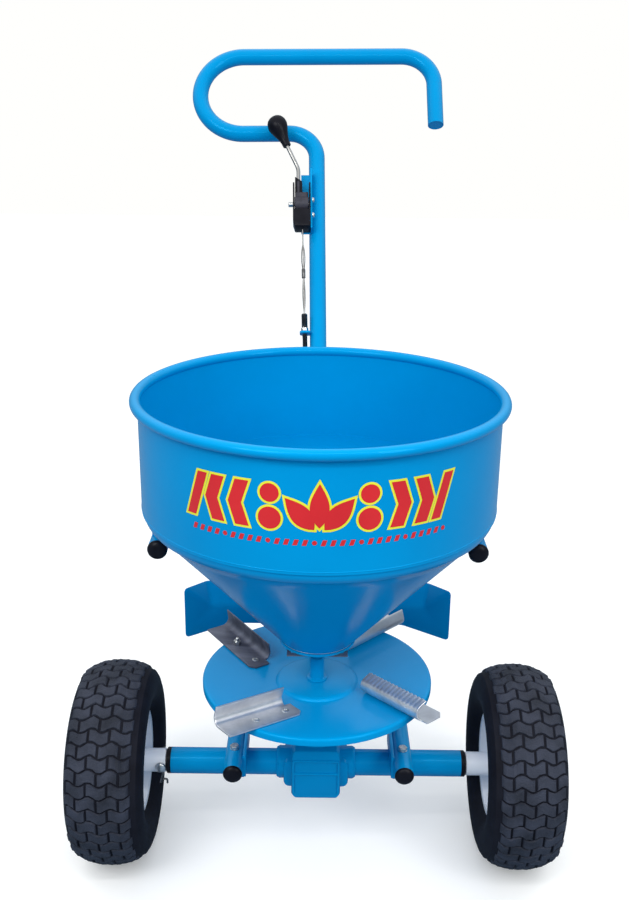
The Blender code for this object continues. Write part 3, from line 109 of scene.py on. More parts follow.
LEAN = math.radians(33.5)
ROLL = math.radians(1.0)
UP_SLOPE = Vector((0.0, math.sin(LEAN), math.cos(LEAN)))
FRONTWARD = Vector((0.0, -math.cos(LEAN), math.sin(LEAN)))
POST_DIR = UP_SLOPE * math.cos(ROLL) - Vector((1, 0, 0)) * math.sin(ROLL)
ACROSS_DIR = Vector((1, 0, 0)) * math.cos(ROLL) + UP_SLOPE * math.sin(ROLL)
POST_FOOT = Vector((HANDLE_MID_X, HANDLE_Y, HANDLE_Z))
POST_FRAME = Matrix.Translation(POST_FOOT) @ Matrix(
    (ACROSS_DIR, -FRONTWARD, POST_DIR)).transposed().to_4x4()
BEND = POST_FOOT + POST_DIR * ((UPRIGHT_Y - HANDLE_Y) / POST_DIR.y)


# Materials

def node(tree, kind, **inputs):
    """Adds a shader node and sets its sockets by name."""
    made = tree.nodes.new(kind)
    for key, value in inputs.items():
        made.inputs[key.replace("_", " ")].default_value = value
    return made


def ramp(tree, source, stops):
    made = tree.nodes.new("ShaderNodeValToRGB")
    elements = made.color_ramp.elements
    while len(elements) < len(stops):
        elements.new(0.5)
    for element, (place, colour) in zip(elements, stops):
        element.position = place
        element.color = (*colour, 1.0)
    tree.links.new(source, made.inputs["Fac"])
    return made.outputs["Color"]


def seen_otherwise(tree, unseen, seen, out):
    """Shows the camera one shader and every other ray another."""
    path = tree.nodes.new("ShaderNodeLightPath")
    either = tree.nodes.new("ShaderNodeMixShader")
    tree.links.new(path.outputs["Is Camera Ray"], either.inputs["Fac"])
    tree.links.new(unseen, either.inputs[1])
    tree.links.new(seen, either.inputs[2])
    tree.links.new(either.outputs["Shader"], tree.nodes[out].inputs["Surface"])


def surface(name, low, high, rough, scale, bump=0.10, metallic=0.0, coat=0.0, distance=0.0002,
            stretch=(1.0, 1.0, 1.0), shine=0.5, glint=(1.0, 1.0, 1.0)):
    """A finish whose colour, roughness and fine relief vary with noise over the object."""
    mat = bpy.data.materials.new(name)
    mat.use_nodes = True
    tree = mat.node_tree
    shader = tree.nodes["Principled BSDF"]
    coords = tree.nodes.new("ShaderNodeTexCoord")
    mapping = node(tree, "ShaderNodeMapping", Scale=stretch)
    tree.links.new(coords.outputs["Object"], mapping.inputs["Vector"])
    broad = node(tree, "ShaderNodeTexNoise", Scale=scale, Detail=4.0, Roughness=0.55)
    fine = node(tree, "ShaderNodeTexNoise", Scale=scale * 22.0, Detail=3.0, Roughness=0.6)
    for texture in (broad, fine):
        tree.links.new(mapping.outputs["Vector"], texture.inputs["Vector"])
    tint = ramp(tree, broad.outputs["Fac"], [(0.30, low), (0.70, high)])
    tree.links.new(tint, shader.inputs["Base Color"])
    gloss = ramp(tree, fine.outputs["Fac"], [(0.2, (rough[0],) * 3), (0.8, (rough[1],) * 3)])
    tree.links.new(gloss, shader.inputs["Roughness"])
    relief = node(tree, "ShaderNodeBump", Strength=bump, Distance=distance)
    tree.links.new(fine.outputs["Fac"], relief.inputs["Height"])
    tree.links.new(relief.outputs["Normal"], shader.inputs["Normal"])
    for key, value in (("Metallic", metallic), ("Coat Weight", coat), ("Coat Roughness", 0.08),
                       ("Specular IOR Level", shine), ("Specular Tint", (*glint, 1.0))):
        shader.inputs[key].default_value = value
    return mat


BLUE = surface("blue_paint", (0.0, 0.268, 0.585), (0.0, 0.298, 0.640), (0.17, 0.24), 5.0,
               bump=0.015, coat=0.02, distance=0.0003, shine=0.36, glint=(0.05, 0.60, 1.0))
# Darker copy of the blue paint for the guard behind the disc: painted shade for the shade under the
# hopper.
PAINTED_SHADE_BLUE = surface("guard_painted_shade", (0.0, 0.205, 0.500), (0.0, 0.230, 0.550), (0.20, 0.28), 5.0,
                     bump=0.015, distance=0.0003, shine=0.30, glint=(0.05, 0.60, 1.0))
RUBBER = surface("tyre_rubber", (0.006, 0.006, 0.010), (0.011, 0.012, 0.019), (0.55, 0.75), 30.0,
                 bump=0.35, distance=0.0004, shine=0.10)
TREAD = surface("tread_rubber", (0.014, 0.017, 0.027), (0.042, 0.048, 0.072), (0.50, 0.80), 24.0,
                bump=1.0, distance=0.0022, shine=0.32)
WHITE = surface("white_paint", (0.86, 0.88, 0.92), (0.93, 0.94, 0.97), (0.30, 0.45), 12.0,
                distance=0.0003)
ZINC = surface("zinc_plate", (0.55, 0.56, 0.55), (0.72, 0.72, 0.70), (0.22, 0.38), 60.0,
               metallic=1.0)
STEEL = surface("bright_steel", (0.30, 0.295, 0.28), (0.44, 0.43, 0.41), (0.25, 0.42), 40.0,
                bump=0.12, metallic=1.0)
GALVANISED = surface("galvanised_sheet", (0.58, 0.58, 0.60), (0.80, 0.80, 0.82), (0.30, 0.42), 34.0,
                     metallic=0.85, distance=0.0003)
# Dark bluish sheet: painted shade on the left rear vane and the shutter, which sit in the shade under
# the hopper.
PAINTED_SHADE_SHEET = surface("painted_shade_sheet", (0.075, 0.082, 0.115), (0.20, 0.21, 0.26), (0.38, 0.55), 26.0,
                 bump=0.16, metallic=0.6, distance=0.0003, stretch=(0.35, 3.0, 1.0))
OILED = surface("gear_steel", (0.10, 0.10, 0.10), (0.20, 0.20, 0.20), (0.25, 0.40), 50.0,
                metallic=1.0)
BLACK = surface("black_plastic", (0.004, 0.004, 0.007), (0.009, 0.009, 0.014), (0.26, 0.38), 50.0,
                shine=0.11)
GREY = surface("grey_plastic", (0.022, 0.021, 0.030), (0.050, 0.048, 0.064), (0.38, 0.55), 60.0,
               bump=0.14, shine=0.25)
SHEATH = surface("cable_sheath", (0.006, 0.006, 0.007), (0.016, 0.016, 0.017), (0.30, 0.42), 80.0,
                 bump=0.08)
RED = surface("decal_red", (0.62, 0.008, 0.010), (0.74, 0.014, 0.014), (0.28, 0.36), 9.0,
              bump=0.03, coat=0.2, distance=0.0001)
YELLOW = surface("decal_yellow", (0.78, 0.74, 0.02), (0.90, 0.86, 0.04), (0.28, 0.36), 9.0,
                 bump=0.03, coat=0.2, distance=0.0001)
FLOOR = surface("floor", (0.93, 0.93, 0.92), (0.95, 0.95, 0.94), (0.55, 0.65), 2.0,
                bump=0.01, distance=0.0005)

SLOTS = {
    "blue_paint": BLUE, "tyre_rubber": RUBBER, "white_paint": WHITE, "zinc": ZINC,
    "bright_steel": STEEL, "galvanised": GALVANISED, "gear_steel": OILED, "black_plastic": BLACK,
    "grey_plastic": GREY, "cable_sheath": SHEATH, "foot_rubber": RUBBER}
SLOT_OF = {mat.name: slot for slot, mat in SLOTS.items() if slot != "foot_rubber"}
# The painted-shade copies count in the slots of the finishes that they darken.
SLOT_OF.update({TREAD.name: "tyre_rubber", PAINTED_SHADE_SHEET.name: "galvanised",
                PAINTED_SHADE_BLUE.name: "blue_paint"})


def paint_frame():
    """Gives every CAD node its finish."""
    slots = {part["node"]: part["material_slot"] for part in frame["record"]["subparts"]}
    for name, obj in frame["nodes"].items():
        obj.data.materials.clear()
        # The shutter gets the dark sheet, as painted shade under the cone.
        obj.data.materials.append(PAINTED_SHADE_SHEET if name == "shutter" else SLOTS[slots[name]])


# Mesh helpers

def linked(name, data):
    """Adds an object to the scene."""
    obj = bpy.data.objects.new(name, data)
    bpy.context.scene.collection.objects.link(obj)
    return obj


def show(name, bm, mat, body="frame", nodes=(), sharp=32.0, matrix=None):
    """Places a mesh in the frame, on its body, in place of the CAD nodes that it stands for."""
    if matrix:
        bmesh.ops.transform(bm, matrix=matrix, verts=bm.verts)
    bmesh.ops.recalc_face_normals(bm, faces=bm.faces)
    bmesh.ops.translate(bm, verts=bm.verts, vec=(0.0, AXLE_Y, 0.0))
    mesh = bpy.data.meshes.new(name)
    bm.to_mesh(mesh)
    bm.free()
    mesh.shade_smooth()
    mesh.set_sharp_from_angle(angle=math.radians(sharp))
    mesh.materials.append(mat)
    obj = linked(name, mesh)
    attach(obj, body)
    if nodes:
        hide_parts(*nodes)
    return obj


def skin(rings, closed=False):
    """Joins rings of points into a tube, with its two ends capped unless it closes on itself."""
    bm = bmesh.new()
    layers = [[bm.verts.new(point) for point in ring] for ring in rings]
    spans = len(layers) if closed else len(layers) - 1
    for k in range(spans):
        near = layers[k]
        far = layers[(k + 1) % len(layers)]
        for i in range(len(near)):
            j = (i + 1) % len(near)
            bm.faces.new((near[i], near[j], far[j], far[i]))
    if not closed:
        bm.faces.new(layers[0])
        bm.faces.new(layers[-1])
    return bm


def turn(profile, sides, axis="Z", centre=(0.0, 0.0, 0.0), closed=True):
    """Turns (radius, height) points about an axis; points marked "hex" follow a hexagon."""
    rings = []
    for point in profile:
        ring = []
        for i in range(sides):
            angle = 2 * math.pi * i / sides
            reach = point[0]
            if len(point) > 2:
                reach *= math.cos(math.pi / 6) / math.cos(angle % (math.pi / 3) - math.pi / 6)
            a = reach * math.cos(angle)
            b = reach * math.sin(angle)
            h = point[1]
            turned = {"X": (h, a, b), "Y": (b, h, a), "Z": (a, b, h)}[axis]
            ring.append(Vector(centre) + Vector(turned))
        rings.append(ring)
    return skin(rings, closed)


def lathe(name, profile, sides, mat, body="frame", nodes=(), axis="Z", at=(0.0, 0.0, 0.0),
          closed=True, sharp=32.0, matrix=None):
    """Turns a profile and shows it."""
    return show(name, turn(profile, sides, axis, at, closed), mat, body, nodes, sharp, matrix)


def facing(profile, side):
    """A profile turned to the left or the right side."""
    return [(point[0], side * point[1], *point[2:]) for point in profile]


def mirrored(points):
    """An outline's points on the other side of its middle."""
    return [(-u, v) for u, v in points]


def bead_profile(r, z, size):
    """A small round bead about a point of a profile."""
    angles = [math.radians(30 * i) for i in range(12)]
    return [(r + size * math.cos(angle), z + size * math.sin(angle)) for angle in angles]


def between(start, end, steps):
    """Points from one to another, with both ends."""
    return [(start[0] + (end[0] - start[0]) * i / steps, start[1] + (end[1] - start[1]) * i / steps)
            for i in range(steps + 1)]


def softened(profile, radius, steps=3):
    """A closed profile with its corners rounded by arcs that never take more than half a side."""
    points = [Vector(p[:2]) for p in profile]
    out = []
    for k, corner in enumerate(points):
        back = points[k - 1] - corner
        ahead = points[(k + 1) % len(points)] - corner
        bend = math.pi - back.angle(ahead)
        if bend < 0.02:
            out.append(tuple(corner))
            continue
        trim = min(radius * math.tan(bend / 2), back.length * 0.48, ahead.length * 0.48)
        start = corner + back.normalized() * trim
        end = corner + ahead.normalized() * trim
        for i in range(steps + 1):
            t = i / steps
            out.append(tuple(start * (1 - t) ** 2 + corner * 2 * t * (1 - t) + end * t ** 2))
    return out


def sweep(path, radius, sides, bore=0.0):
    """Carries a circle along a path; radius may be one value or one a point."""
    radii = radius if isinstance(radius, list) else [radius] * len(path)
    last = len(path) - 1
    tangents = [(path[min(k + 1, last)] - path[max(k - 1, 0)]).normalized() for k in range(last + 1)]
    side = tangents[0].orthogonal().normalized()
    outer = []
    inner = []
    for k, point in enumerate(path):
        side = (side - tangents[k] * side.dot(tangents[k])).normalized()
        other = tangents[k].cross(side)
        spokes = [side * math.cos(2 * math.pi * i / sides) + other * math.sin(2 * math.pi * i / sides)
                  for i in range(sides)]
        outer.append([point + spoke * radii[k] for spoke in spokes])
        inner.append([point + spoke * bore for spoke in spokes])
    if bore > 0.0:
        return skin(outer + inner[::-1], closed=True)
    return skin(outer)


def rounded(points, radius, step=5.0):
    """A path with each corner replaced by an arc of the given radius."""
    radii = radius if isinstance(radius, list) else [radius] * (len(points) - 2)
    path = [Vector(points[0])]
    for k in range(1, len(points) - 1):
        corner = Vector(points[k])
        back = (Vector(points[k - 1]) - corner).normalized()
        ahead = (Vector(points[k + 1]) - corner).normalized()
        bend = math.pi - back.angle(ahead)
        centre = corner + (back + ahead).normalized() * radii[k - 1] / math.cos(bend / 2)
        start = corner + back * radii[k - 1] * math.tan(bend / 2) - centre
        normal = back.cross(ahead).normalized()
        count = max(2, math.ceil(math.degrees(bend) / step))
        for i in range(count + 1):
            path.append(centre + Matrix.Rotation(-bend * i / count, 3, normal) @ start)
    path.append(Vector(points[-1]))
    return path


def outline_sides(points):
    """Each point of a closed outline with its inward side and how much a corner stretches it."""
    area = sum(a.x * b.y - b.x * a.y for a, b in zip(points, points[1:] + points[:1]))
    turned = 1.0 if area > 0 else -1.0
    for k, point in enumerate(points):
        before = (point - points[k - 1]).normalized()
        after = (points[(k + 1) % len(points)] - point).normalized()
        along = (before + after).normalized()
        yield point, Vector((-along.y, along.x)) * turned, along.dot(before)


PLANES = {"XZ": ((1, 0, 0), (0, 0, 1)), "YZ": ((0, 1, 0), (0, 0, 1)), "XY": ((1, 0, 0), (0, 1, 0))}


def slab(outline, origin, plane, depth, round_off):
    """An outline extruded square to its plane, its two faces pulled in to round their edges."""
    u_dir, v_dir = (Vector(axis) for axis in PLANES[plane])
    normal = u_dir.cross(v_dir).normalized()
    levels = [(0.0, round_off), (round_off * 0.3, round_off * 0.3), (round_off, 0.0),
              (depth - round_off, 0.0), (depth - round_off * 0.3, round_off * 0.3), (depth, round_off)]
    sides = list(outline_sides([Vector(point) for point in outline]))
    rings = []
    for height, inset in levels:
        ring = []
        for point, inward, square in sides:
            at = point + inward * inset / max(square, 0.5)
            ring.append(Vector(origin) + u_dir * at.x + v_dir * at.y + normal * height)
        rings.append(ring)
    return skin(rings)


def strip(path, thickness):
    """The outline of a bent sheet whose middle follows (u, v) points."""
    left = []
    right = []
    for k, point in enumerate(path):
        here = Vector(point[:2])
        run_in = (here - Vector(path[k - 1][:2])).normalized() if k else None
        run_out = (Vector(path[k + 1][:2]) - here).normalized() if k < len(path) - 1 else run_in
        run_in = run_in or run_out
        along = (run_in + run_out).normalized()
        reach = thickness / 2 / max(along.dot(run_in), 0.3)
        side = Vector((-along.y, along.x)) * reach
        left.append(tuple(here + side))
        right.append(tuple(here - side))
    return left + right[::-1]


def bevelled(obj, name, width, segments, limit=30.0):
    """Rounds the edges of an object that are sharper than the limit."""
    bevel = obj.modifiers.new(name, "BEVEL")
    bevel.width = width
    bevel.segments = segments
    bevel.limit_method = "ANGLE"
    bevel.angle_limit = math.radians(limit)


def sheeted(obj, thickness, offset):
    sheet = obj.modifiers.new("sheet", "SOLIDIFY")
    sheet.thickness = thickness
    sheet.offset = offset
    return sheet


# Hopper

def hopper():
    """Cylinder with its rolled bead and seam, and the cone with its rounded shoulder and lip."""
    inner = HOPPER_R - HOPPER_SHEET
    bead = []
    for i in range(29):
        angle = math.radians(BEAD_START + BEAD_SWEEP * i / 28)
        bead.append((BEAD_CENTRE_R + BEAD_R * math.cos(angle), BEAD_Z + BEAD_R * math.sin(angle)))
    shell = [(HOPPER_R, SEAM_Z), (HOPPER_R, 0.70), (HOPPER_R, bead[0][1] - 0.004)] + bead
    shell += [(inner, bead[-1][1] - 0.002), (inner, 0.70), (inner, SEAM_Z)]
    lathe("hopper_cylinder", shell, 160, BLUE, nodes=["hopper_shell"])
    lathe("hopper_seam", bead_profile(HOPPER_R - 0.0006, SEAM_Z + 0.0040, 0.0011), 160, BLUE)
    skirt = inner - GAP
    outside = [(skirt, SEAM_Z + 0.016), (skirt, SEAM_Z - 0.0035), (skirt - 0.0012, SEAM_Z - 0.0085),
               (skirt - 0.0042, SEAM_Z - 0.0140), (0.2560, 0.6175)]
    outside += between((SHOULDER_R, SHOULDER_Z), (CONE_BOTTOM_R, CONE_BOTTOM_Z), 14)
    inside = between((CONE_BOTTOM_R - 0.0028, CONE_BOTTOM_Z), (0.2490, SHOULDER_Z + 0.0028), 14)
    inside += [(skirt - 0.0062, SEAM_Z - 0.0120), (skirt - HOPPER_SHEET, SEAM_Z - 0.0030),
               (skirt - HOPPER_SHEET, SEAM_Z + 0.016)]
    lathe("hopper_funnel", outside + inside, 160, BLUE, nodes=["hopper_cone"])
    lathe("cone_lip", bead_profile(CONE_BOTTOM_R + 0.0004, CONE_BOTTOM_Z + 0.0014, 0.0011), 120,
          GALVANISED)


def on_cylinder(u, v, lift):
    """A point on the hopper's front: u along the curve from the middle, v up, lift off it."""
    angle = u / HOPPER_R
    radius = HOPPER_R + lift
    return Vector((radius * math.sin(angle), -radius * math.cos(angle), v))


def decal_piece(name, outlines, mat, lift):
    """Thin film shapes that follow the curve of the hopper."""
    bm = bmesh.new()
    for outline in outlines:
        fine = []
        for k, corner in enumerate(outline):
            ahead = Vector(outline[(k + 1) % len(outline)])
            corner = Vector(corner)
            pieces = max(1, math.ceil((ahead - corner).length / 0.004))
            fine += [corner.lerp(ahead, i / pieces) for i in range(pieces)]
        low = min(point.x for point in fine)
        high = max(point.x for point in fine)
        columns = max(1, math.ceil((high - low) / 0.006))
        flat = bmesh.new()
        flat.faces.new([flat.verts.new((point.x, point.y, 0.0)) for point in fine])
        for i in range(1, columns):
            geom = flat.verts[:] + flat.edges[:] + flat.faces[:]
            cut = low + (high - low) * i / columns
            bmesh.ops.bisect_plane(flat, geom=geom, plane_co=(cut, 0, 0), plane_no=(1, 0, 0))
        for vert in flat.verts:
            vert.co = on_cylinder(vert.co.x, vert.co.y, lift)
        copy = bpy.data.meshes.new("film")
        flat.to_mesh(copy)
        flat.free()
        bm.from_mesh(copy)
        bpy.data.meshes.remove(copy)
    show(name, bm, mat, sharp=60.0)


# Wheels

TREAD_ROWS = 50
TREAD_PITCH = 0.0330
TREAD_WAVE = 0.0036
TREAD_GROOVE = 0.0018
TREAD_EDGES = (-0.0455, 0.0560)
TREAD_SHIFT = 0.0045
TREAD_DEPTH = 0.0046


def tread_radius(x):
    """Outer radius of the tread blocks at a distance outwards from the tyre's middle."""
    return TYRE_R - 0.0115 * (abs(x) / 0.0480) ** 2.4


def tyre_profile():
    outside = [(RIM_SEAT_R + 0.0005, 0.0417), (0.0838, 0.0419), (0.0885, 0.0452), (0.0925, 0.0490),
               (0.0985, 0.0542), (0.1060, 0.0584), (0.1150, 0.0606), (0.1240, 0.0612),
               (0.1330, 0.0602), (0.1410, 0.0572), (0.1470, 0.0530)]
    for i in range(9):
        x = 0.0490 * (1 - i / 8)
        outside.append((tread_radius(x) - TREAD_DEPTH, x))
    inside = [(0.0763, 0.0350), (0.1000, 0.0500), (0.1300, 0.0510), (0.1500, 0.0200), (0.1520, 0.0)]
    return (outside + [(r, -x) for r, x in reversed(outside[:-1])]
            + [(r, -x) for r, x in inside] + inside[-2::-1])


def tread_blocks(side):
    """Staggered rows of wave-edged blocks round the tyre."""
    bm = bmesh.new()
    for row in range(TREAD_ROWS):
        for j in range(-3, 4):
            middle = (j + 0.5 * (row % 2)) * TREAD_PITCH + TREAD_SHIFT
            reach = TREAD_PITCH / 2 - TREAD_GROOVE
            low = max(middle - reach, TREAD_EDGES[0])
            high = min(middle + reach, TREAD_EDGES[1])
            if high - low >= 0.004:
                add_block(bm, side, row / TREAD_ROWS, low, high)
    return bm


def add_block(bm, side, start, low, high):
    """One block with a foot, a shoulder and a worn top, its front and rear edges wavy."""
    columns = 7
    loops = []
    for lift, inset in ((-0.0052, -0.0003), (-0.0010, 0.0), (0.0, 0.0007)):
        lanes = ([], [])
        margin = TREAD_GROOVE * 0.9 + inset
        for i in range(columns):
            x = low + inset + (high - low - 2 * inset) * i / (columns - 1)
            sway = TREAD_WAVE * math.cos(2 * math.pi * x / TREAD_PITCH)
            for where, lane in enumerate(lanes):
                wander = 0.0017 * noise.noise(Vector((x * 160.0, start * 400.0, where * 7.0)))
                run = 2 * math.pi * TYRE_R / TREAD_ROWS * where + (-margin if where else margin) + sway
                angle = 2 * math.pi * start + (run + wander) / TYRE_R
                worn = 0.0022 * (noise.noise(Vector((x * 190.0, start * 300.0, where * 5.0))) - 0.8)
                radius = tread_radius(x) + lift + (worn if lift > -0.0020 else 0.0)
                lane.append(bm.verts.new((side * (WHEEL_X + x), radius * math.cos(angle),
                                          AXLE_Z + radius * math.sin(angle))))
        loops.append(lanes)
    rings = [lower + upper[::-1] for lower, upper in loops]
    for near, far in zip(rings, rings[1:]):
        for i in range(len(near)):
            j = (i + 1) % len(near)
            bm.faces.new((near[i], near[j], far[j], far[i]))
    for lower, upper in (loops[2], loops[0]):
        for i in range(columns - 1):
            bm.faces.new((lower[i], lower[i + 1], upper[i + 1], upper[i]))


def rim_profile():
    """Drop-centre rim, web and hub tube from one closed line."""
    wall = 0.0025
    well = 0.0610
    bore = 0.0103
    inner = HUB_INNER_X - WHEEL_X
    outer = HUB_OUTER_X - WHEEL_X
    seat = RIM_SEAT_R
    top = [(RIM_FLANGE_R, RIM_HALF), (RIM_FLANGE_R, RIM_HALF - wall), (seat, RIM_HALF - wall),
           (seat - 0.001, 0.0230), (well, 0.0180)]
    under = [(seat - wall, RIM_HALF), (seat - wall - 0.001, 0.0250), (well - wall, 0.0200),
             (well - wall, 0.0050), (0.0500, 0.0020), (0.0300, 0.0040), (HUB_R + 0.0030, 0.0040),
             (HUB_R, 0.0070), (HUB_R, outer), (bore, outer), (bore, inner), (HUB_R, inner),
             (HUB_R, -0.0030), (HUB_R + 0.0030, 0.0), (0.0300, 0.0), (0.0500, -0.0020),
             (well - wall, -0.0010), (well - wall, -0.0200), (seat - wall - 0.001, -0.0250),
             (seat - wall, -RIM_HALF)]
    return softened(facing(top, -1) + top[::-1] + under, 0.0022, 2)


def wheels():
    valve = [(0.0052, 0.0110), (0.0052, 0.0175), (0.0040, 0.0180), (0.0040, 0.0330),
             (0.0034, 0.0340), (0.0034, 0.0360), (0.0045, 0.0365), (0.0045, 0.0430), (0.0030, 0.0440)]
    for side, name in SIDES:
        body = f"{name}_wheel"
        at = (side * WHEEL_X, 0.0, AXLE_Z)
        lathe(f"tyre_casing_{name}", tyre_profile(), 120, RUBBER, body, [f"tyre_{name}"], "X", at)
        show(f"tread_{name}", tread_blocks(side), TREAD, body, sharp=40.0)
        lathe(f"wheel_centre_{name}", facing(rim_profile(), side), 96, WHITE, body,
              [f"rim_{name}"], "X", at)
        lathe(f"valve_stem_{name}", facing(valve, side), 24, RUBBER, body, (), "X",
              (side * WHEEL_X, 0.0, AXLE_Z + 0.0686), closed=False)


def axle():
    """Axle tube halves, their end bushes and the fittings at the wheels."""
    tube_in, tube_out, bush_out = 0.0458, 0.2390, 0.2460
    tube_bore = AXLE_TUBE_R - 0.0032
    fit = tube_bore - GAP
    near = HUB_OUTER_X + GAP
    bore = AXLE_R + GAP
    tube = [(AXLE_TUBE_R, tube_in), (AXLE_TUBE_R, tube_out), (tube_bore, tube_out), (tube_bore, tube_in)]
    bush = [(AXLE_BORE_R, 0.2200), (fit, 0.2200), (fit, tube_out + GAP), (AXLE_TUBE_R, tube_out + GAP),
            (AXLE_TUBE_R, 0.2450), (AXLE_TUBE_R - 0.0010, bush_out), (AXLE_BORE_R, bush_out)]
    flange = [(bore, near), (0.0175, near), (0.0178, near + 0.0010), (0.0172, near + 0.0020),
              (0.0152, near + 0.0024), (bore, near + 0.0024)]
    hexed = [(bore, near + 0.0020), (0.0150, near + 0.0020, "hex"), (0.0150, near + 0.0085, "hex"),
             (0.0134, near + 0.0097), (bore, near + 0.0097)]
    for side, name in SIDES:
        for piece, profile, sides, mat, body, nodes in (
                ("axle_pipe", tube, 72, BLUE, "frame", [f"axle_tube_{name}"]),
                ("end_bush", bush, 72, BLACK, "frame", [f"axle_bush_{name}"]),
                ("nut_flange", flange, 48, ZINC, "left_wheel", ()),
                ("nut_body", hexed, 48, ZINC, "left_wheel", [f"axle_nut_{name}"])):
            lathe(f"{piece}_{name}", facing(profile, side), sides, mat, body, nodes, "X", AXLE)
    shaft = [(0.0090, -0.3850), (AXLE_R, -0.3838), (AXLE_R, 0.3838), (0.0090, 0.3850)]
    lathe("axle_bar", shaft, 48, STEEL, "left_wheel", ["axle_shaft"], "X", AXLE, closed=False)


def pin_and_clip():
    """Drive pin through the left hub and its spring clip."""
    x = -0.2555
    profile = [(0.0036, 0.0310), (0.0040, 0.0304), (0.0040, -0.0193), (0.0084, -0.0193),
               (0.0088, -0.0200), (0.0088, -0.0222), (0.0080, -0.0238), (0.0062, -0.0249),
               (0.0030, -0.0254)]
    lathe("hub_pin", profile, 40, ZINC, "left_wheel", ["drive_pin"], "Y", (x, 0, AXLE_Z), closed=False)
    low = AXLE_Z - 0.0290
    front = -0.0220
    path = rounded([(x, 0.0250, AXLE_Z + 0.0070), (x, 0.0250, low), (x, front, low),
                    (x + 0.0030, front, low + 0.0080), (x + 0.0110, front, low + 0.0080),
                    (x + 0.0110, front, low)], [0.006, 0.003, 0.003, 0.003], 6.0)
    show("hub_clip", sweep(path, 0.0017, 14), OILED, "left_wheel", ["pin_clip"])


# Spinner disc and vanes

VANE_BEARING = 38.4
VANE_OFFSET = 0.0268
VANE_START = 0.0895
VANE_REACH = (-0.0085, 0.1260)
TIP_VANE_REACH = (-0.0120, 0.1285)
VANE_WIDTH = 0.0440
VANE_SHEET = 0.0022
VANE_BEND_R = 0.0130
VANE_FOLD = (105.0, 0.0150)
TIP_VANE_FOLD = (160.0, 0.0130)
VANE_LIFT = 0.0010
VANE_FACE = VANE_LIFT + VANE_SHEET
VANE_HOLES = (0.0110, 0.0660)
VANE_HOLE_SIDE = 0.0235
TAB = 0.0125
FLANGE_SPANS = 8


def disc_z(radius):
    return DISC_EDGE_Z - DISC_DISH * (DISC_R - radius)


def disc_body():
    """Dished disc with a low raised centre and a turned-down edge."""
    low = disc_z(PLATEAU_R)
    edge = DISC_EDGE_Z - 0.0002
    inner = DISC_R - DISC_SHEET
    top = [(0.0093, low + 0.0050), (0.0585, low + 0.0056), (0.0615, low + 0.0052),
           (0.0636, low + 0.0040), (0.0650, low + 0.0020), (0.0662, low + 0.0009)]
    top += [(r, disc_z(r)) for r, _ in between((0.0680, 0.0), (0.1780, 0.0), 8)]
    rim = [(DISC_R - 0.0034, edge - 0.0004), (DISC_R - 0.0018, edge - 0.0011),
           (DISC_R - 0.0006, edge - 0.0024), (DISC_R, edge - 0.0044), (DISC_R, edge - 0.0116),
           (DISC_R - 0.0010, edge - 0.0124), (inner, edge - 0.0116), (inner, edge - 0.0045)]
    under = [(r, z - DISC_SHEET) for r, z in reversed(top)]
    lathe("dished_disc", top + rim + under, 160, BLUE, "disc", ["spinner_disc"])


def vane_frame(k):
    """Axes of a vane on the dish: u outwards, v square to it, w off the disc."""
    mid_u = sum(VANE_HOLES) / 2
    middle = Vector((VANE_START + mid_u, VANE_OFFSET + VANE_HOLE_SIDE, 0.0))
    away = middle.normalized()
    along = Vector((1.0, 0.0, DISC_DISH * away.x)).normalized()
    off = Vector((-DISC_DISH * away.x, -DISC_DISH * away.y, 1.0)).normalized()
    across = off.cross(along)
    seat = Vector((middle.x, middle.y, disc_z(middle.length)))
    start = seat - along * mid_u - across * VANE_HOLE_SIDE
    axes = Matrix((along, across, off)).transposed().to_4x4()
    bearing = math.radians(VANE_BEARING + 90.0 * k)
    return Matrix.Rotation(bearing, 4, "Z") @ Matrix.Translation(start) @ axes


def vane_section(bend, lip):
    """Middle line of a vane's cross-section as (v, w) from the flange's edge to the lip's."""
    mid = VANE_LIFT + VANE_SHEET / 2
    radius = VANE_BEND_R - VANE_SHEET / 2
    centre = Vector((VANE_BEND_R, mid + radius))
    line = [Vector((VANE_WIDTH + (VANE_BEND_R - VANE_WIDTH) * i / 6, mid)) for i in range(6)]
    for i in range(13):
        turned = math.radians(-90.0 - bend * i / 12)
        line.append(centre + Vector((math.cos(turned), math.sin(turned))) * radius)
    lean = math.radians(bend)
    last = line[-1]
    return line + [last + Vector((-math.cos(lean), math.sin(lean))) * lip * i / 4 for i in (1, 2, 3, 4)]


def vane_body(tip):
    """Bent sheet whose web stops short of one end, where the flange's corner is clipped."""
    line = vane_section(*(TIP_VANE_FOLD if tip else VANE_FOLD))
    start, end = TIP_VANE_REACH if tip else VANE_REACH
    steps = 90 if tip else 36
    bm = bmesh.new()
    rows = [[bm.verts.new((start + (end - start) * i / steps, point.x, point.y)) for point in line]
            for i in range(steps + 1)]
    for i in range(steps):
        u = start + (end - start) * (i + 0.5) / steps
        in_tab = u > end - TAB if tip else u < start + TAB
        for j in range(FLANGE_SPANS if in_tab else len(line) - 1):
            bm.faces.new((rows[i][j], rows[i + 1][j], rows[i + 1][j + 1], rows[i][j + 1]))
    inward = Vector((-1.0 if tip else 1.0, 0, 0))
    corner = Vector((end if tip else start, VANE_WIDTH, 0))
    bmesh.ops.bisect_plane(bm, geom=bm.verts[:] + bm.edges[:] + bm.faces[:], clear_inner=True,
                           plane_co=corner + inward * 0.0085, plane_no=inward + Vector((0, -1.0, 0)))
    if tip:
        for vert in bm.verts:
            if vert.co.z > 0.020:
                share = (vert.co.z - 0.020) / 0.009
                vert.co.z += 0.0010 * share * math.sin(vert.co.x * 760.0)
    return bm


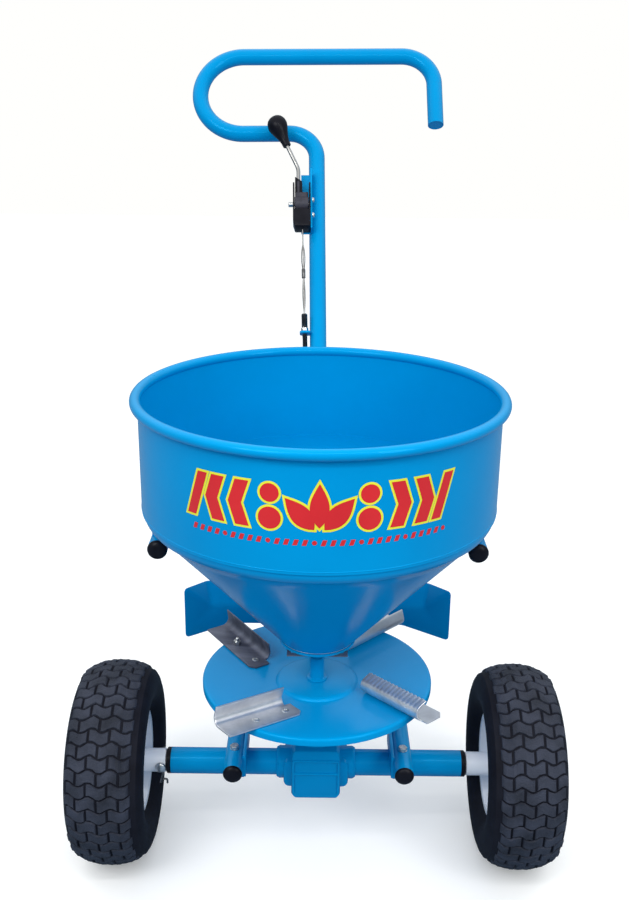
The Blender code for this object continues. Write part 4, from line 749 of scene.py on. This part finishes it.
def vanes():
    for k, where in enumerate(("right_rear", "left_rear", "left_front", "right_front")):
        # The left rear vane gets the dark sheet, as painted shade under the hopper.
        finish = PAINTED_SHADE_SHEET if where == "left_rear" else GALVANISED
        vane = show(f"bent_vane_{where}", vane_body(where == "right_front"), finish, "disc",
                    [f"vane_{where}"], 50.0, vane_frame(k))
        sheeted(vane, VANE_SHEET, 0.0)
        bevelled(vane, "edge", 0.0004, 2)
        for i, u in enumerate(VANE_HOLES):
            vane_rivet(k, u, f"{where}_{i}", where == "left_rear" and i == 1)


def vane_rivet(k, u, name, tall):
    """A low rivet, or a bolt with its nut where a taller one is seen, and its tail below."""
    face = VANE_FACE
    at = vane_frame(k) @ Matrix.Translation((u, VANE_HOLE_SIDE, 0))
    head = [(0.0058, face - 0.0004), (0.0056, face + 0.0004), (0.0044, face + 0.0009),
            (0.0030, face + 0.0008), (0.0026, face - 0.0002), (0.0008, face - 0.0004)]
    if tall:
        head = [(0.0062, face, "hex"), (0.0062, face + 0.0050, "hex"), (0.0054, face + 0.0056),
                (0.0030, face + 0.0056), (0.0030, face + 0.0100), (0.0024, face + 0.0108)]
    tail = [(0.0030, -0.0026), (0.0056, -0.0028, "hex"), (0.0056, -0.0068, "hex"), (0.0030, -0.0076)]
    for piece, profile in (("vane_fixing", [(0.0030, -0.0050), (0.0030, head[0][1])] + head),
                           ("vane_fixing_tail", tail)):
        lathe(f"{piece}_{name}", profile, 24, ZINC, "disc", closed=False, matrix=at)


def spindle():
    """Disc shaft above and below the disc, its flange, and the nut on top."""
    low = disc_z(PLATEAU_R) + 0.0053
    flange = low - DISC_SHEET - 2 * GAP
    shaft = [(0.0028, 0.190), (0.0028, 0.2030), (SHAFT_R, 0.2030), (SHAFT_R, 0.2890), (0.0290, 0.2935),
             (0.0400, flange - 0.0045), (0.0400, flange), (SHAFT_R, flange), (SHAFT_R, 0.4140),
             (0.0080, 0.4150)]
    lathe("spindle", shaft, 64, BLUE, "disc", ["disc_shaft"], closed=False)
    nut = [(0.0093, low), (0.0163, low), (0.0165, low + 0.0012), (0.0160, low + 0.0024),
           (0.0118, low + 0.0030), (0.0115, low + 0.0045), (0.0115, 0.3630), (0.0106, 0.3640),
           (0.0093, 0.3640)]
    lathe("spindle_nut", nut, 64, BLUE, "disc", ["disc_nut"])


# Frame

PLUG = ((0.0124, 0.020), (0.0124, -0.0003), (0.0150, -0.0003), (0.0152, -0.0012), (0.0148, -0.0026),
        (0.0128, -0.0050), (0.0095, -0.0070), (0.0050, -0.0080), (0.0010, -0.0082))
STRAP_SHEET = 0.0040
STRAP_WIDTH = 0.0250
CHEEK_SHEET = 0.0050
CHEEK_HALF = 0.0520
CLAMP_BOLT_Y = 0.0385
BOLT_R = 0.0040


def side_tubes():
    """Lower tubes and the hopper's arms, with the plugs in their front ends."""
    for side, name in SIDES:
        runs = (("rail", "lower_tube", "rail", FRAME_X + side * RAIL_X, RAIL_FRONT_Y, RAIL_Z, 0.085),
                ("arm", "upper_tube", "hopper_arm", ARM_MID_X + side * ARM_X, ARM_FRONT_Y, ARM_Z, 0.13))
        for _, tube, cad, x, y, z, corner in runs:
            path = rounded([(x, y, z), (x, UPRIGHT_Y, z), (BEND.x, UPRIGHT_Y, z)], corner)
            show(f"{tube}_{name}", sweep(path, RAIL_R, 48, RAIL_R - TUBE_WALL), BLUE,
                 nodes=[f"{cad}_{name}"])
        for base, _, _, x, y, z, _ in runs:
            lathe(f"end_plug_{base}_{name}", [(r, y + h) for r, h in PLUG], 48, BLACK, "frame",
                  [f"{base}_plug_{name}"], "Y", (x, 0, z), closed=False)


def upright_and_foot():
    path = rounded([(BEND.x, UPRIGHT_Y, 0.0083), BEND, POST_FOOT - POST_DIR * 0.0450], 0.10, 3.0)
    show("rear_leg", sweep(path, UPRIGHT_R, 56, UPRIGHT_R - 0.0032), BLUE, nodes=["upright"])
    profile = [(0.0285, 0.0), (0.0300, 0.0015), (0.0300, 0.0090), (0.0290, 0.0120), (0.0250, 0.0300),
               (0.0236, 0.0336), (0.0215, 0.0340), (0.0196, 0.0330), (0.0196, 0.0080)]
    lathe("rubber_foot", profile, 64, RUBBER, nodes=["foot"], at=(BEND.x, UPRIGHT_Y, 0), closed=False)


def weld(name, centre, radius, size):
    """A rippled weld bead round a tube that runs across the machine."""
    turns = [2 * math.pi * i / 40 for i in range(41)]
    path = [Vector(centre) + Vector((0, math.cos(a), math.sin(a))) * radius for a in turns]
    fine = []
    for a, b in zip(path, path[1:]):
        count = max(1, math.ceil((b - a).length / 0.0008))
        fine += [a.lerp(b, i / count) for i in range(count)]
    radii = [size * (0.9 + 0.16 * math.sin(k * 1.7) + 0.1 * noise.noise(point * 300.0))
             for k, point in enumerate(fine)]
    show(name, sweep(fine, radii, 10), BLUE)


def frame_welds():
    for side, name in SIDES:
        for label, z in (("rail", RAIL_Z), ("arm", ARM_Z)):
            weld(f"weld_{label}_{name}", (BEND.x + side * UPRIGHT_R, UPRIGHT_Y, z), RAIL_R, 0.0022)
        weld(f"weld_sleeve_{name}", (side * 0.0622, 0, AXLE_Z), 0.0222, 0.0026)


def soften_cad():
    """Rounds the edges of CAD pieces that keep their own shape."""
    for name in ("gearbox_cover", "outlet_plate", "shutter", "cable_stop", "agitator"):
        bevelled(frame["nodes"][name], "edge", 0.0006, 2, 40)


def hopper_underside(radius):
    """Height of the hopper's outer surface at a radius, where the arms' pads touch it."""
    if radius < SHOULDER_R:
        share = (radius - CONE_BOTTOM_R) / (SHOULDER_R - CONE_BOTTOM_R)
        return CONE_BOTTOM_Z + (SHOULDER_Z - CONE_BOTTOM_Z) * share
    return SHOULDER_Z + 0.0030 * (radius - SHOULDER_R) / 0.0060


def arm_pad(side):
    """Saddle between an upper tube and the hopper, shaped to the hopper's underside."""
    x_mid = ARM_MID_X + side * ARM_X
    half = 0.0100
    rings = []
    for i in range(13):
        y = -0.0300 + 0.0600 * i / 12
        low = ARM_Z + RAIL_R - 0.0030
        ring = [Vector((x_mid - half, y, low)), Vector((x_mid + half, y, low))]
        for j in range(7):
            x = x_mid + half - 2 * half * j / 6
            ring.append(Vector((x, y, hopper_underside(math.hypot(x, y)) - 0.0002)))
        rings.append(ring)
    return skin(rings)


def cheek_outline():
    """Side plate on a lower tube, notched round the axle tube."""
    rise = 0.0070
    top = RAIL_Z + 0.0085
    notch = 0.0218
    first = math.asin(rise / notch)
    points = [(CHEEK_HALF, top), (-CHEEK_HALF, top), (-CHEEK_HALF, AXLE_Z + rise)]
    for i in range(15):
        angle = math.pi - first - (math.pi - 2 * first) * i / 14
        points.append((notch * math.cos(angle), AXLE_Z + notch * math.sin(angle)))
    return points + [(CHEEK_HALF, AXLE_Z + rise)]


def hex_bolt(name, at, axis, length, way, nodes, matrix=None):
    """Bolt with a washer face and a chamfered hexagon head."""
    head = BOLT_R * 1.9
    top = GAP + BOLT_R * 1.3
    profile = [(BOLT_R * 0.8, -length), (BOLT_R, -length + BOLT_R * 0.2), (BOLT_R, GAP),
               (head * 0.98, GAP), (head * 0.98, 0.0008), (head, 0.0009, "hex"),
               (head, top - 0.0012, "hex"), (head * 0.93, top - 0.0003, "hex"), (head * 0.80, top),
               (head * 0.5, top - 0.0002)]
    lathe(name, facing(profile, way), 36, ZINC, "frame", nodes, axis, at, False, 32.0, matrix)


def clamp_parts():
    """Cheeks, straps and bolts that hold the axle tube under the lower tubes."""
    top = RAIL_Z - RAIL_R - GAP - STRAP_SHEET / 2
    low = top - STRAP_SHEET / 2
    radius = AXLE_TUBE_R + GAP + STRAP_SHEET / 2 + 0.0006
    half = [(CHEEK_HALF, top), (radius + 0.0040, top), (radius + 0.0012, top - 0.0012),
            (radius, top - 0.0045)]
    path = mirrored(half)
    for i in range(19):
        angle = math.pi + math.pi * i / 18
        path.append((radius * math.cos(angle), AXLE_Z + radius * math.sin(angle)))
    path += half[::-1]
    nut = [(0.0042, low - 0.0062), (0.0068, low - 0.0062), (0.0075, low - 0.0052, "hex"),
           (0.0075, low + 0.0005, "hex"), (0.0042, low + 0.0005)]
    for side, name in SIDES:
        x = FRAME_X + side * RAIL_X
        near = x - side * (RAIL_R - 0.0016)
        start = min(near, near - side * CHEEK_SHEET)
        show(f"cheek_{name}", slab(cheek_outline(), (start, 0, 0), "YZ", CHEEK_SHEET, 0.0006), BLUE)
        strap = slab(strip(path, STRAP_SHEET), (x - STRAP_WIDTH / 2, 0, 0), "YZ", STRAP_WIDTH, 0.0007)
        show(f"strap_{name}", strap, BLUE, nodes=[f"axle_saddle_{name}"])
        for where, y in (("front", -CLAMP_BOLT_Y), ("rear", CLAMP_BOLT_Y)):
            head = RAIL_Z + RAIL_R
            hex_bolt(f"rail_bolt_{where}_{name}", (x, y, head), "Z", head - low + 0.0100, 1,
                     [f"clamp_bolt_{where}_{name}"])
            lathe(f"rail_nut_{where}_{name}", nut, 36, BLUE, at=(x, y, 0))


def pads_and_bolts():
    for side, name in SIDES:
        show(f"hopper_pad_{name}", arm_pad(side), BLUE)
    hex_bolt("post_bolt", (-UPRIGHT_R, 0, -0.0720), "X", 2 * UPRIGHT_R + 0.0120, -1, ["handle_bolt"],
             POST_FRAME)


# Gearbox

def gearbox():
    """Housing with side wings, cast ribs, axle sleeves, neck and seal."""
    half_d = 0.0420
    half = [(0.0350, -0.0415), (0.0400, -0.0335), (0.0400, 0.0240), (0.0370, 0.0490)]
    outline = softened([(-0.0350, -0.0415)] + half + mirrored(half[:0:-1]), 0.0090, 4)
    wings = softened([(-0.0530, -0.0285), (0.0530, -0.0285), (0.0530, 0.0200), (-0.0530, 0.0200)],
                     0.0110, 4)
    show("gear_wings", slab(wings, (0, 0.0300, AXLE_Z), "XZ", 0.0600, 0.0040), BLUE)
    show("gear_housing", slab(outline, (0, half_d, AXLE_Z), "XZ", 2 * half_d, 0.0035), BLUE,
         nodes=["gearbox_case"], sharp=40.0)
    rib = 0.0365
    for k, (u, low, v, high) in enumerate(((-rib, -0.0300, -rib, 0.0300), (rib, -0.0300, rib, 0.0300),
                                           (-rib, 0.0300, rib, 0.0300), (-rib, 0.0060, rib, 0.0060))):
        line = [Vector((x, -half_d - 0.0004, AXLE_Z + z)) for x, z in ((u, low), (v, high))]
        show(f"cast_rib_{k}", sweep(line, 0.0021, 20), BLUE)
    sleeve = [(0.0262, 0.0300), (0.0262, 0.0605), (0.0250, 0.0620), (0.0216, 0.0620), (0.0216, 0.0300)]
    for side, name in SIDES:
        lathe(f"axle_sleeve_{name}", facing(sleeve, side), 72, BLUE, axis="X", at=AXLE)
    base = AXLE_Z + 0.0490
    neck = [(0.0178, base - 0.006), (0.0345, base - 0.006), (0.0345, base - 0.0010),
            (0.0318, base + 0.0006), (0.0290, base + 0.0034), (0.0272, base + 0.0080),
            (0.0265, base + 0.0140), (0.0265, 0.2820), (0.0258, 0.2830), (0.0178, 0.2830)]
    lathe("gear_neck", neck, 72, BLUE)
    ring = [(0.0093, 0.2833), (0.0262, 0.2833), (0.0265, 0.2840), (0.0262, 0.2864), (0.0093, 0.2868)]
    lathe("neck_seal", ring, 64, BLACK, nodes=["shaft_bush"])


# Shield

def shield_panel():
    """Bent guard behind the disc: flat back, two swept tips and a top strip that leans back."""
    corners = {"a": (0.1550, 0.2500, 0.2876), "b": (0.1960, 0.2500, 0.3220),
               "c": (0.2420, 0.2350, 0.2636), "d": (0.2420, 0.2350, 0.3620),
               "e": (0.2060, 0.2800, 0.3570)}
    bm = bmesh.new()
    verts = {}
    for sign, side in (("-", -1), ("+", 1)):
        for key, (x, y, z) in corners.items():
            verts[key + sign] = bm.verts.new((side * x, y, z))
    for face in ("a- a+ b+ b-", "b- b+ e+ e-", "a+ c+ b+", "b+ c+ d+", "b+ d+ e+", "a- b- c-",
                 "b- d- c-", "b- e- d-"):
        bm.faces.new([verts[key] for key in face.split()])
    bmesh.ops.recalc_face_normals(bm, faces=bm.faces)
    # The guard gets the darker blue, as painted shade.
    panel = show("guard_panel", bm, PAINTED_SHADE_BLUE, nodes=["shield"])
    bevelled(panel, "folds", 0.0050, 5, 8)
    sheeted(panel, 0.0025, -1.0).use_even_offset = True
    bevelled(panel, "edge", 0.0005, 2, 60)
    tab = [(-0.0120, 0.2916), (0.0120, 0.2916), (0.0120, 0.3176), (-0.0120, 0.3176)]
    at = (BEND.x, UPRIGHT_Y - UPRIGHT_R - GAP, 0)
    show("guard_tab", slab(tab, at, "XZ", 0.0306, 0.0008), BLUE)


# Handle and lever, in the post's own axes: X across, Y to the rear, Z up the post

LEVER_X = -0.0285
LEVER_Y = -0.0290
PIVOT_S = 0.2570
CAP_LOW_S = 0.2075
CHEEK_HIGH_S = 0.3000
BODY_HALF_W = 0.0160
BODY_HALF_D = 0.0150
FIN_X = -0.0106
GRIP_X = 0.2277
ROD_X = -0.0345
KNOB_FOOT = Vector((-0.0530, -0.0365, 0.3680))
KNOB_TOP = Vector((-0.0720, -0.0400, 0.4110))
KNOB_SCALE = 0.912


def on_post(name, bm, mat, body="frame", nodes=(), sharp=32.0):
    return show(name, bm, mat, body, nodes, sharp, POST_FRAME)


def handle():
    """Bent handle tube with the lever's bracket, its two fixings and the adjuster's tab."""
    flat = [(0.0, -0.1000), (0.0, 0.4210), (-0.2228, 0.4210), (-0.2228, 0.5880), (GRIP_X, 0.5880),
            (GRIP_X, 0.4375)]
    path = rounded([(x, 0, s) for x, s in flat], [0.0520, 0.0834, 0.0834, 0.0620], 3.0)
    on_post("handle_bar", sweep(path, HANDLE_R, 56, HANDLE_R - TUBE_WALL), BLUE, nodes=["handle_tube"])
    stopper = [(0.0010, 0.4380), (0.0134, 0.4380), (0.0134, 0.4400), (0.0010, 0.4400)]
    on_post("grip_end", turn(stopper, 48, "Z", (GRIP_X, 0, 0), closed=False), BLUE)
    bend = [Vector((point.x, point.y)) for point in rounded(
        [(LEVER_X - 0.0010, -0.0110, 0), (FIN_X, -0.0110, 0), (FIN_X, -0.0380, 0)], 0.0040, 15.0)]
    on_post("lever_bracket", slab(strip(bend, 0.0030), (0, 0, 0.2065), "XY", 0.1200, 0.0006), BLUE,
            sharp=40.0)
    head = [(r, FIN_X + h) for r, h in ((0.0046, 0.0), (0.0050, 0.0006), (0.0050, 0.0026),
                                        (0.0044, 0.0042), (0.0028, 0.0056), (0.0010, 0.0060))]
    for i, s in enumerate((0.2359, 0.2662)):
        on_post(f"bracket_fixing_{i}", turn(head, 32, "X", (0, LEVER_Y, s), closed=False), ZINC)
    tab = softened([(-0.0330, -0.0150), (-0.0330, -0.0050), (-0.0290, -0.0010), (-0.0138, -0.0010),
                    (-0.0138, -0.0190), (-0.0290, -0.0190)], 0.0040, 3)
    on_post("adjuster_tab", slab(tab, (0, 0, 0.0108), "XY", 0.0040, 0.0005), BLUE)


def housing():
    """Black lever housing: tapered cap below and two cheeks above, with rounded edges."""
    near = LEVER_X - BODY_HALF_W
    far = LEVER_X + BODY_HALF_W
    slot = 0.0134
    floor = PIVOT_S - 0.0151
    high = CHEEK_HIGH_S
    cap = [(near + 0.0035, CAP_LOW_S), (far - 0.0020, CAP_LOW_S), (far, CAP_LOW_S + 0.0040),
           (far, floor), (near, floor), (near, CAP_LOW_S + 0.0120)]
    on_post("lever_cap", slab(softened(cap, 0.0030, 4), (0, LEVER_Y + BODY_HALF_D, 0), "XZ",
                              2 * BODY_HALF_D, 0.0022), BLACK, "frame", ["lever_housing"], 40.0)
    half = ((0.0150, floor - 0.004), (0.0150, high - 0.010), (0.0110, high - 0.003), (0.0040, high))
    cheek = [(LEVER_Y + side * half[k][0], half[k][1]) for side, k in (
        (-1, 0), (1, 0), (1, 1), (1, 2), (1, 3), (-1, 3), (-1, 2), (-1, 1))]
    for name, x in (("left", near), ("right", LEVER_X + slot)):
        on_post(f"lever_cheek_{name}", slab(softened(cheek, 0.0050, 3), (x, 0, 0), "YZ",
                                            BODY_HALF_W - slot, 0.0009), BLACK, sharp=40.0)
    tip = [(0.0010, near - 0.0085), (0.0037, near - 0.0084), (0.0045, near - 0.0076),
           (0.0045, near - GAP), (0.0030, near - GAP), (0.0030, far - GAP)]
    on_post("pivot_pin", turn(tip, 28, "X", (0, LEVER_Y, PIVOT_S), closed=False), ZINC, "frame",
            ["lever_pin"])


def lever():
    """Grey drum with its blade and neck, the bent rod and the black knob."""
    half = 0.0128
    barrel = [(0.0034, -half), (0.0137, -half), (0.0145, -half + 0.0010), (0.0145, half - 0.0010),
              (0.0137, half), (0.0034, half)]
    on_post("drum_barrel", turn([(r, LEVER_X + h) for r, h in barrel], 64, "X",
                                (0, LEVER_Y, PIVOT_S)), GREY, "lever", ["lever_drum"])
    front, rear, high = LEVER_Y - 0.0080, LEVER_Y + 0.0060, PIVOT_S + 0.0220
    blade = softened([(front, PIVOT_S), (rear, PIVOT_S), (rear, high), (front, high)], 0.0025, 3)
    on_post("drum_blade", slab(blade, (LEVER_X - 0.0118, 0, 0), "YZ", 0.0236, 0.0012), GREY, "lever")
    wing = softened([(LEVER_X + u, PIVOT_S + v) for u, v in (
        (-0.0122, 0.0150), (0.0020, 0.0150), (0.0010, 0.0450), (-0.0110, 0.0540),
        (-0.0122, 0.0540))], 0.0030, 3)
    on_post("drum_wing", slab(wing, (0, LEVER_Y + 0.0052, 0), "XZ", 0.0104, 0.0010), BLACK, "lever")
    neck = [(0.0056, 0.0200), (0.0056, 0.0440), (0.0050, 0.0470), (0.0038, 0.0480)]
    on_post("drum_neck", turn([(r, PIVOT_S + h) for r, h in neck], 40, "Z", (ROD_X, LEVER_Y, 0),
                              closed=False), GREY, "lever")
    points = [(ROD_X, LEVER_Y, PIVOT_S + 0.0303), (ROD_X, LEVER_Y, 0.3300), KNOB_FOOT, KNOB_TOP]
    on_post("control_rod", sweep(rounded(points, [0.030, 0.060], 2.0), 0.0035, 28), STEEL, "lever",
            ["lever_rod"])
    line = [(0.0040, 0.0), (0.0070, 0.0), (0.0075, 0.0008), (0.0076, 0.0060), (0.0080, 0.0110),
            (0.0092, 0.0170), (0.0110, 0.0235), (0.0132, 0.0300), (0.0154, 0.0360), (0.0172, 0.0415),
            (0.0183, 0.0465), (0.0185, 0.0500), (0.0180, 0.0545), (0.0166, 0.0590), (0.0142, 0.0632),
            (0.0110, 0.0662), (0.0070, 0.0676), (0.0030, 0.0680), (0.0015, 0.0678)]
    along = (KNOB_TOP - KNOB_FOOT).normalized()
    at = POST_FRAME @ Matrix.Translation(KNOB_FOOT + along * 0.0050) @ tilt_to(along)
    lathe("rod_knob", [(r, s * KNOB_SCALE) for r, s in line], 64, BLACK, "lever", ["lever_knob"],
          closed=False, matrix=at)


def tilt_to(along):
    """Turns the Z axis to a direction."""
    return Vector((0, 0, 1)).rotation_difference(along).to_matrix().to_4x4()


def wire_local(s):
    """A point of the straight wire line in the handle's own axes."""
    t = (s - 0.0193) / (CAP_LOW_S - 0.0193)
    return Vector((-0.0240 - 0.0030 * t, -0.0100 - 0.0190 * t, s))


def along_wire(name, profile, sides, mat, body="frame", nodes=(), sharp=32.0):
    """Turns a (radius, s) profile about the wire line."""
    foot = profile[0][1]
    low = wire_local(foot)
    tilt = tilt_to((wire_local(foot + 0.1) - low).normalized())
    lathe(name, [(p[0], p[1] - foot, *p[2:]) for p in profile], sides, mat, body, nodes,
          closed=False, sharp=sharp, matrix=POST_FRAME @ Matrix.Translation(low) @ tilt)


def wire_parts():
    """Inner wire with its strands and crimp, and the threaded adjuster with its nut."""
    along_wire("inner_wire", [(0.0012, 0.0181), (0.0012, 0.2160)], 16, STEEL, "wire", ["control_wire"])
    crimp_s = 0.1240
    for k, bow in enumerate((-0.0030, 0.0030)):
        strand = []
        for i in range(41):
            s = 0.0520 + (0.1815 - 0.0520) * i / 40
            reach, share = (0.0575, 1.0) if s > crimp_s else (0.0790, 0.7)
            spread = abs(math.sin(math.pi * (s - crimp_s) / reach)) * share
            strand.append(POST_FRAME @ (wire_local(s) + Vector((bow * spread, 0.0, 0.0))))
        show(f"wire_strand_{k}", sweep(strand, 0.0008, 10), OILED, "wire")
    crimp = [(0.0012, 0.1152), (0.0030, 0.1153), (0.0034, 0.1160), (0.0034, 0.1320),
             (0.0030, 0.1328), (0.0012, 0.1329)]
    along_wire("wire_crimp", crimp, 24, OILED, "wire")
    barrel = [(0.0020, -0.0300), (0.0040, -0.0298)]
    s = -0.0290
    while s < 0.0480:
        reach = 0.0045 if s < 0.0190 else 0.0055
        barrel += [(reach, s), (reach - 0.0005, s + 0.0005)]
        s += 0.0010
    barrel += [(0.0050, 0.0484), (0.0040, 0.0491), (0.0020, 0.0491)]
    along_wire("adjuster_screw", barrel, 32, OILED, "frame", ["cable_adjuster"], 50.0)
    nut = [(0.0046, 0.0159), (0.0060, 0.0159), (0.0066, 0.0163, "hex"), (0.0066, 0.0219, "hex"),
           (0.0060, 0.0223), (0.0046, 0.0223)]
    along_wire("adjuster_nut", nut, 36, ZINC)


def cable():
    """Outer cable from the adjuster, down behind the hopper, to the stop behind the shutter."""
    end_z = CONE_BOTTOM_Z - GAP - 0.0046
    side_x = BEND.x - UPRIGHT_R - 0.0170
    y_drop = UPRIGHT_Y - 0.0230
    corners = [POST_FRAME @ wire_local(-0.0305), POST_FRAME @ wire_local(-0.0440),
               POST_FRAME @ Vector((-0.0330, -0.0060, -0.0840)), (side_x, y_drop, 0.6500),
               (side_x, y_drop, 0.4700), (0.0, 0.2560, end_z), (0.0, 0.2065, end_z)]
    path = rounded(corners, [0.020, 0.040, 0.040, 0.050, 0.022], 4.0)
    outer = show("outer_cable", sweep(path, 0.0030, 24), SHEATH, nodes=["control_cable"])


# Decal: a plain row of sprouts, grains and bars

DECAL_LOW = 0.6955
DECAL_HIGH = 0.7570


def grown(outline, by):
    """An outline pushed outwards by a distance."""
    return [tuple(point - inward * by / max(square, 0.45))
            for point, inward, square in outline_sides([Vector(point) for point in outline])]


def leaf(u, v, length, width, lean):
    """A leaf from its stalk at (u, v), leaning by an angle from upright."""
    points = []
    turned = math.radians(lean)
    for i in range(24):
        t = i / 24
        far = t * 2 if t < 0.5 else 2 - t * 2
        side = 1.0 if t < 0.5 else -1.0
        x = side * width / 2 * math.sin(math.pi * far ** 0.85)
        y = length * far
        points.append((u + x * math.cos(turned) + y * math.sin(turned),
                       v - x * math.sin(turned) + y * math.cos(turned)))
    return points


def grain(u, v, radius, count=28):
    angles = [2 * math.pi * i / count for i in range(count)]
    return [(u + radius * math.cos(angle), v + radius * math.sin(angle)) for angle in angles]


def bar(u, low, high, width, lean=0.010):
    half = width / 2
    return [(u - half - lean, low), (u + half - lean, low), (u + half + lean, high),
            (u - half + lean, high)]


def arrow(u, way):
    half = 0.0095
    mid = (DECAL_LOW + DECAL_HIGH) / 2
    tip = way * half * 1.1
    return [(u - half, DECAL_LOW), (u + half, DECAL_LOW), (u + half + tip, mid),
            (u + half, DECAL_HIGH), (u - half, DECAL_HIGH), (u - half + tip, mid)]


def decal():
    shapes = []
    for side, _ in SIDES:
        shapes += [bar(side * 0.1700, DECAL_LOW, DECAL_HIGH, 0.0150), arrow(side * 0.1360, side),
                   arrow(side * 0.1010, side), grain(side * 0.0640, DECAL_LOW + 0.0150, 0.0150),
                   grain(side * 0.0640, DECAL_HIGH - 0.0125, 0.0125),
                   leaf(side * 0.0065, DECAL_LOW + 0.0020, 0.0560, 0.0260, side * 42.0)]
    shapes.append(leaf(0.0, DECAL_LOW + 0.0040, 0.0600, 0.0250, 0.0))
    decal_piece("decal_edge", [grown(shape, 0.0030) for shape in shapes], YELLOW, 0.0003)
    decal_piece("decal_fill", shapes, RED, 0.0006)
    line = []
    for i in range(30):
        u = -0.1740 + 0.3480 * i / 29
        line.append(grain(u, 0.6795, 0.0032, 16) if i % 5 == 4
                    else bar(u, 0.6755, 0.6835, 0.0058, 0.0014))
    decal_piece("decal_line", line, RED, 0.0004)


# Studio and camera

def pale_floor():
    """Lifts the floor's shadows a little and keeps the light that it throws back dim."""
    tree = FLOOR.node_tree
    shader = tree.nodes["Principled BSDF"]
    shader.inputs["Emission Color"].default_value = (1.0, 0.99, 0.96, 1.0)
    shader.inputs["Emission Strength"].default_value = 0.16
    dim = node(tree, "ShaderNodeBsdfDiffuse", Color=(0.22, 0.30, 0.40, 1.0))
    seen_otherwise(tree, dim.outputs["BSDF"], shader.outputs["BSDF"], "Material Output")


def studio():
    """Plain pale floor, a bright even surround and large soft lights."""
    floor = bmesh.new()
    bmesh.ops.create_grid(floor, x_segments=1, y_segments=1, size=9.0)
    mesh = bpy.data.meshes.new("studio_floor")
    floor.to_mesh(mesh)
    floor.free()
    pale_floor()
    mesh.materials.append(FLOOR)
    linked("studio_floor", mesh)
    world = bpy.data.worlds.new("surround")
    world.use_nodes = True
    tree = world.node_tree
    shade = tree.nodes["Background"]
    shade.inputs["Strength"].default_value = 1.22
    coords = tree.nodes.new("ShaderNodeTexCoord")
    parts = tree.nodes.new("ShaderNodeSeparateXYZ")
    tree.links.new(coords.outputs["Generated"], parts.inputs["Vector"])
    sky = ramp(tree, parts.outputs["Z"], [(0.0, (0.14, 0.17, 0.19)), (0.25, (0.31, 0.39, 0.44)),
                                          (0.6, (0.84, 0.88, 0.93)), (1.0, (1.0, 1.0, 1.0))])
    tree.links.new(sky, shade.inputs["Color"])
    plain = node(tree, "ShaderNodeBackground", Color=(1.0, 1.0, 0.985, 1.0), Strength=1.0)
    seen_otherwise(tree, shade.outputs["Background"], plain.outputs["Background"], "World Output")
    bpy.context.scene.world = world
    soft_light("key", (-1.5, -2.2, 2.4), (0, 0, 0.55), (1.2, 1.2), 31.0)
    soft_light("strip", (0.1, -1.5, 2.1), (0, -0.1, 0.35), (1.7, 0.10), 9.0)
    soft_light("fill", (1.7, -2.0, 1.9), (0, 0, 0.5), (0.8, 1.4), 19.0)


def soft_light(name, at, towards, size, power):
    light = bpy.data.lights.new(name, "AREA")
    light.shape = "RECTANGLE"
    light.size, light.size_y = size
    light.energy = power
    obj = linked(name, light)
    obj.location = at
    aim = Vector(towards) - Vector(at)
    obj.rotation_euler = aim.to_track_quat("-Z", "Y").to_euler()


def camera():
    """Camera in front of the machine, a little above the hopper, looking down on it."""
    yaw, pitch, roll = 0.0021, 0.3316, 0.0107
    ahead = Vector((-math.sin(yaw) * math.cos(pitch), math.cos(yaw) * math.cos(pitch), -math.sin(pitch)))
    right = Vector((math.cos(yaw), math.sin(yaw), 0.0))
    up = right.cross(ahead)
    across = right * math.cos(roll) + up * math.sin(roll)
    upward = up * math.cos(roll) - right * math.sin(roll)
    data = bpy.data.cameras.new("camera")
    data.lens = 42.0
    data.sensor_width = 36.0
    data.clip_start = 0.05
    data.clip_end = 60.0
    obj = linked("camera", data)
    pose = Matrix((across, upward, -ahead)).transposed().to_4x4()
    obj.matrix_world = Matrix.Translation((-0.0047, -1.4808 + AXLE_Y, 1.2222)) @ pose
    bpy.context.scene.camera = obj
    bpy.context.scene.view_settings.view_transform = "Standard"


paint_frame()
hopper()
decal()
wheels()
axle()
pin_and_clip()
gearbox()
spindle()
disc_body()
vanes()
side_tubes()
clamp_parts()
pads_and_bolts()
upright_and_foot()
frame_welds()
shield_panel()
handle()
housing()
lever()
wire_parts()
cable()
soften_cad()
studio()
camera()
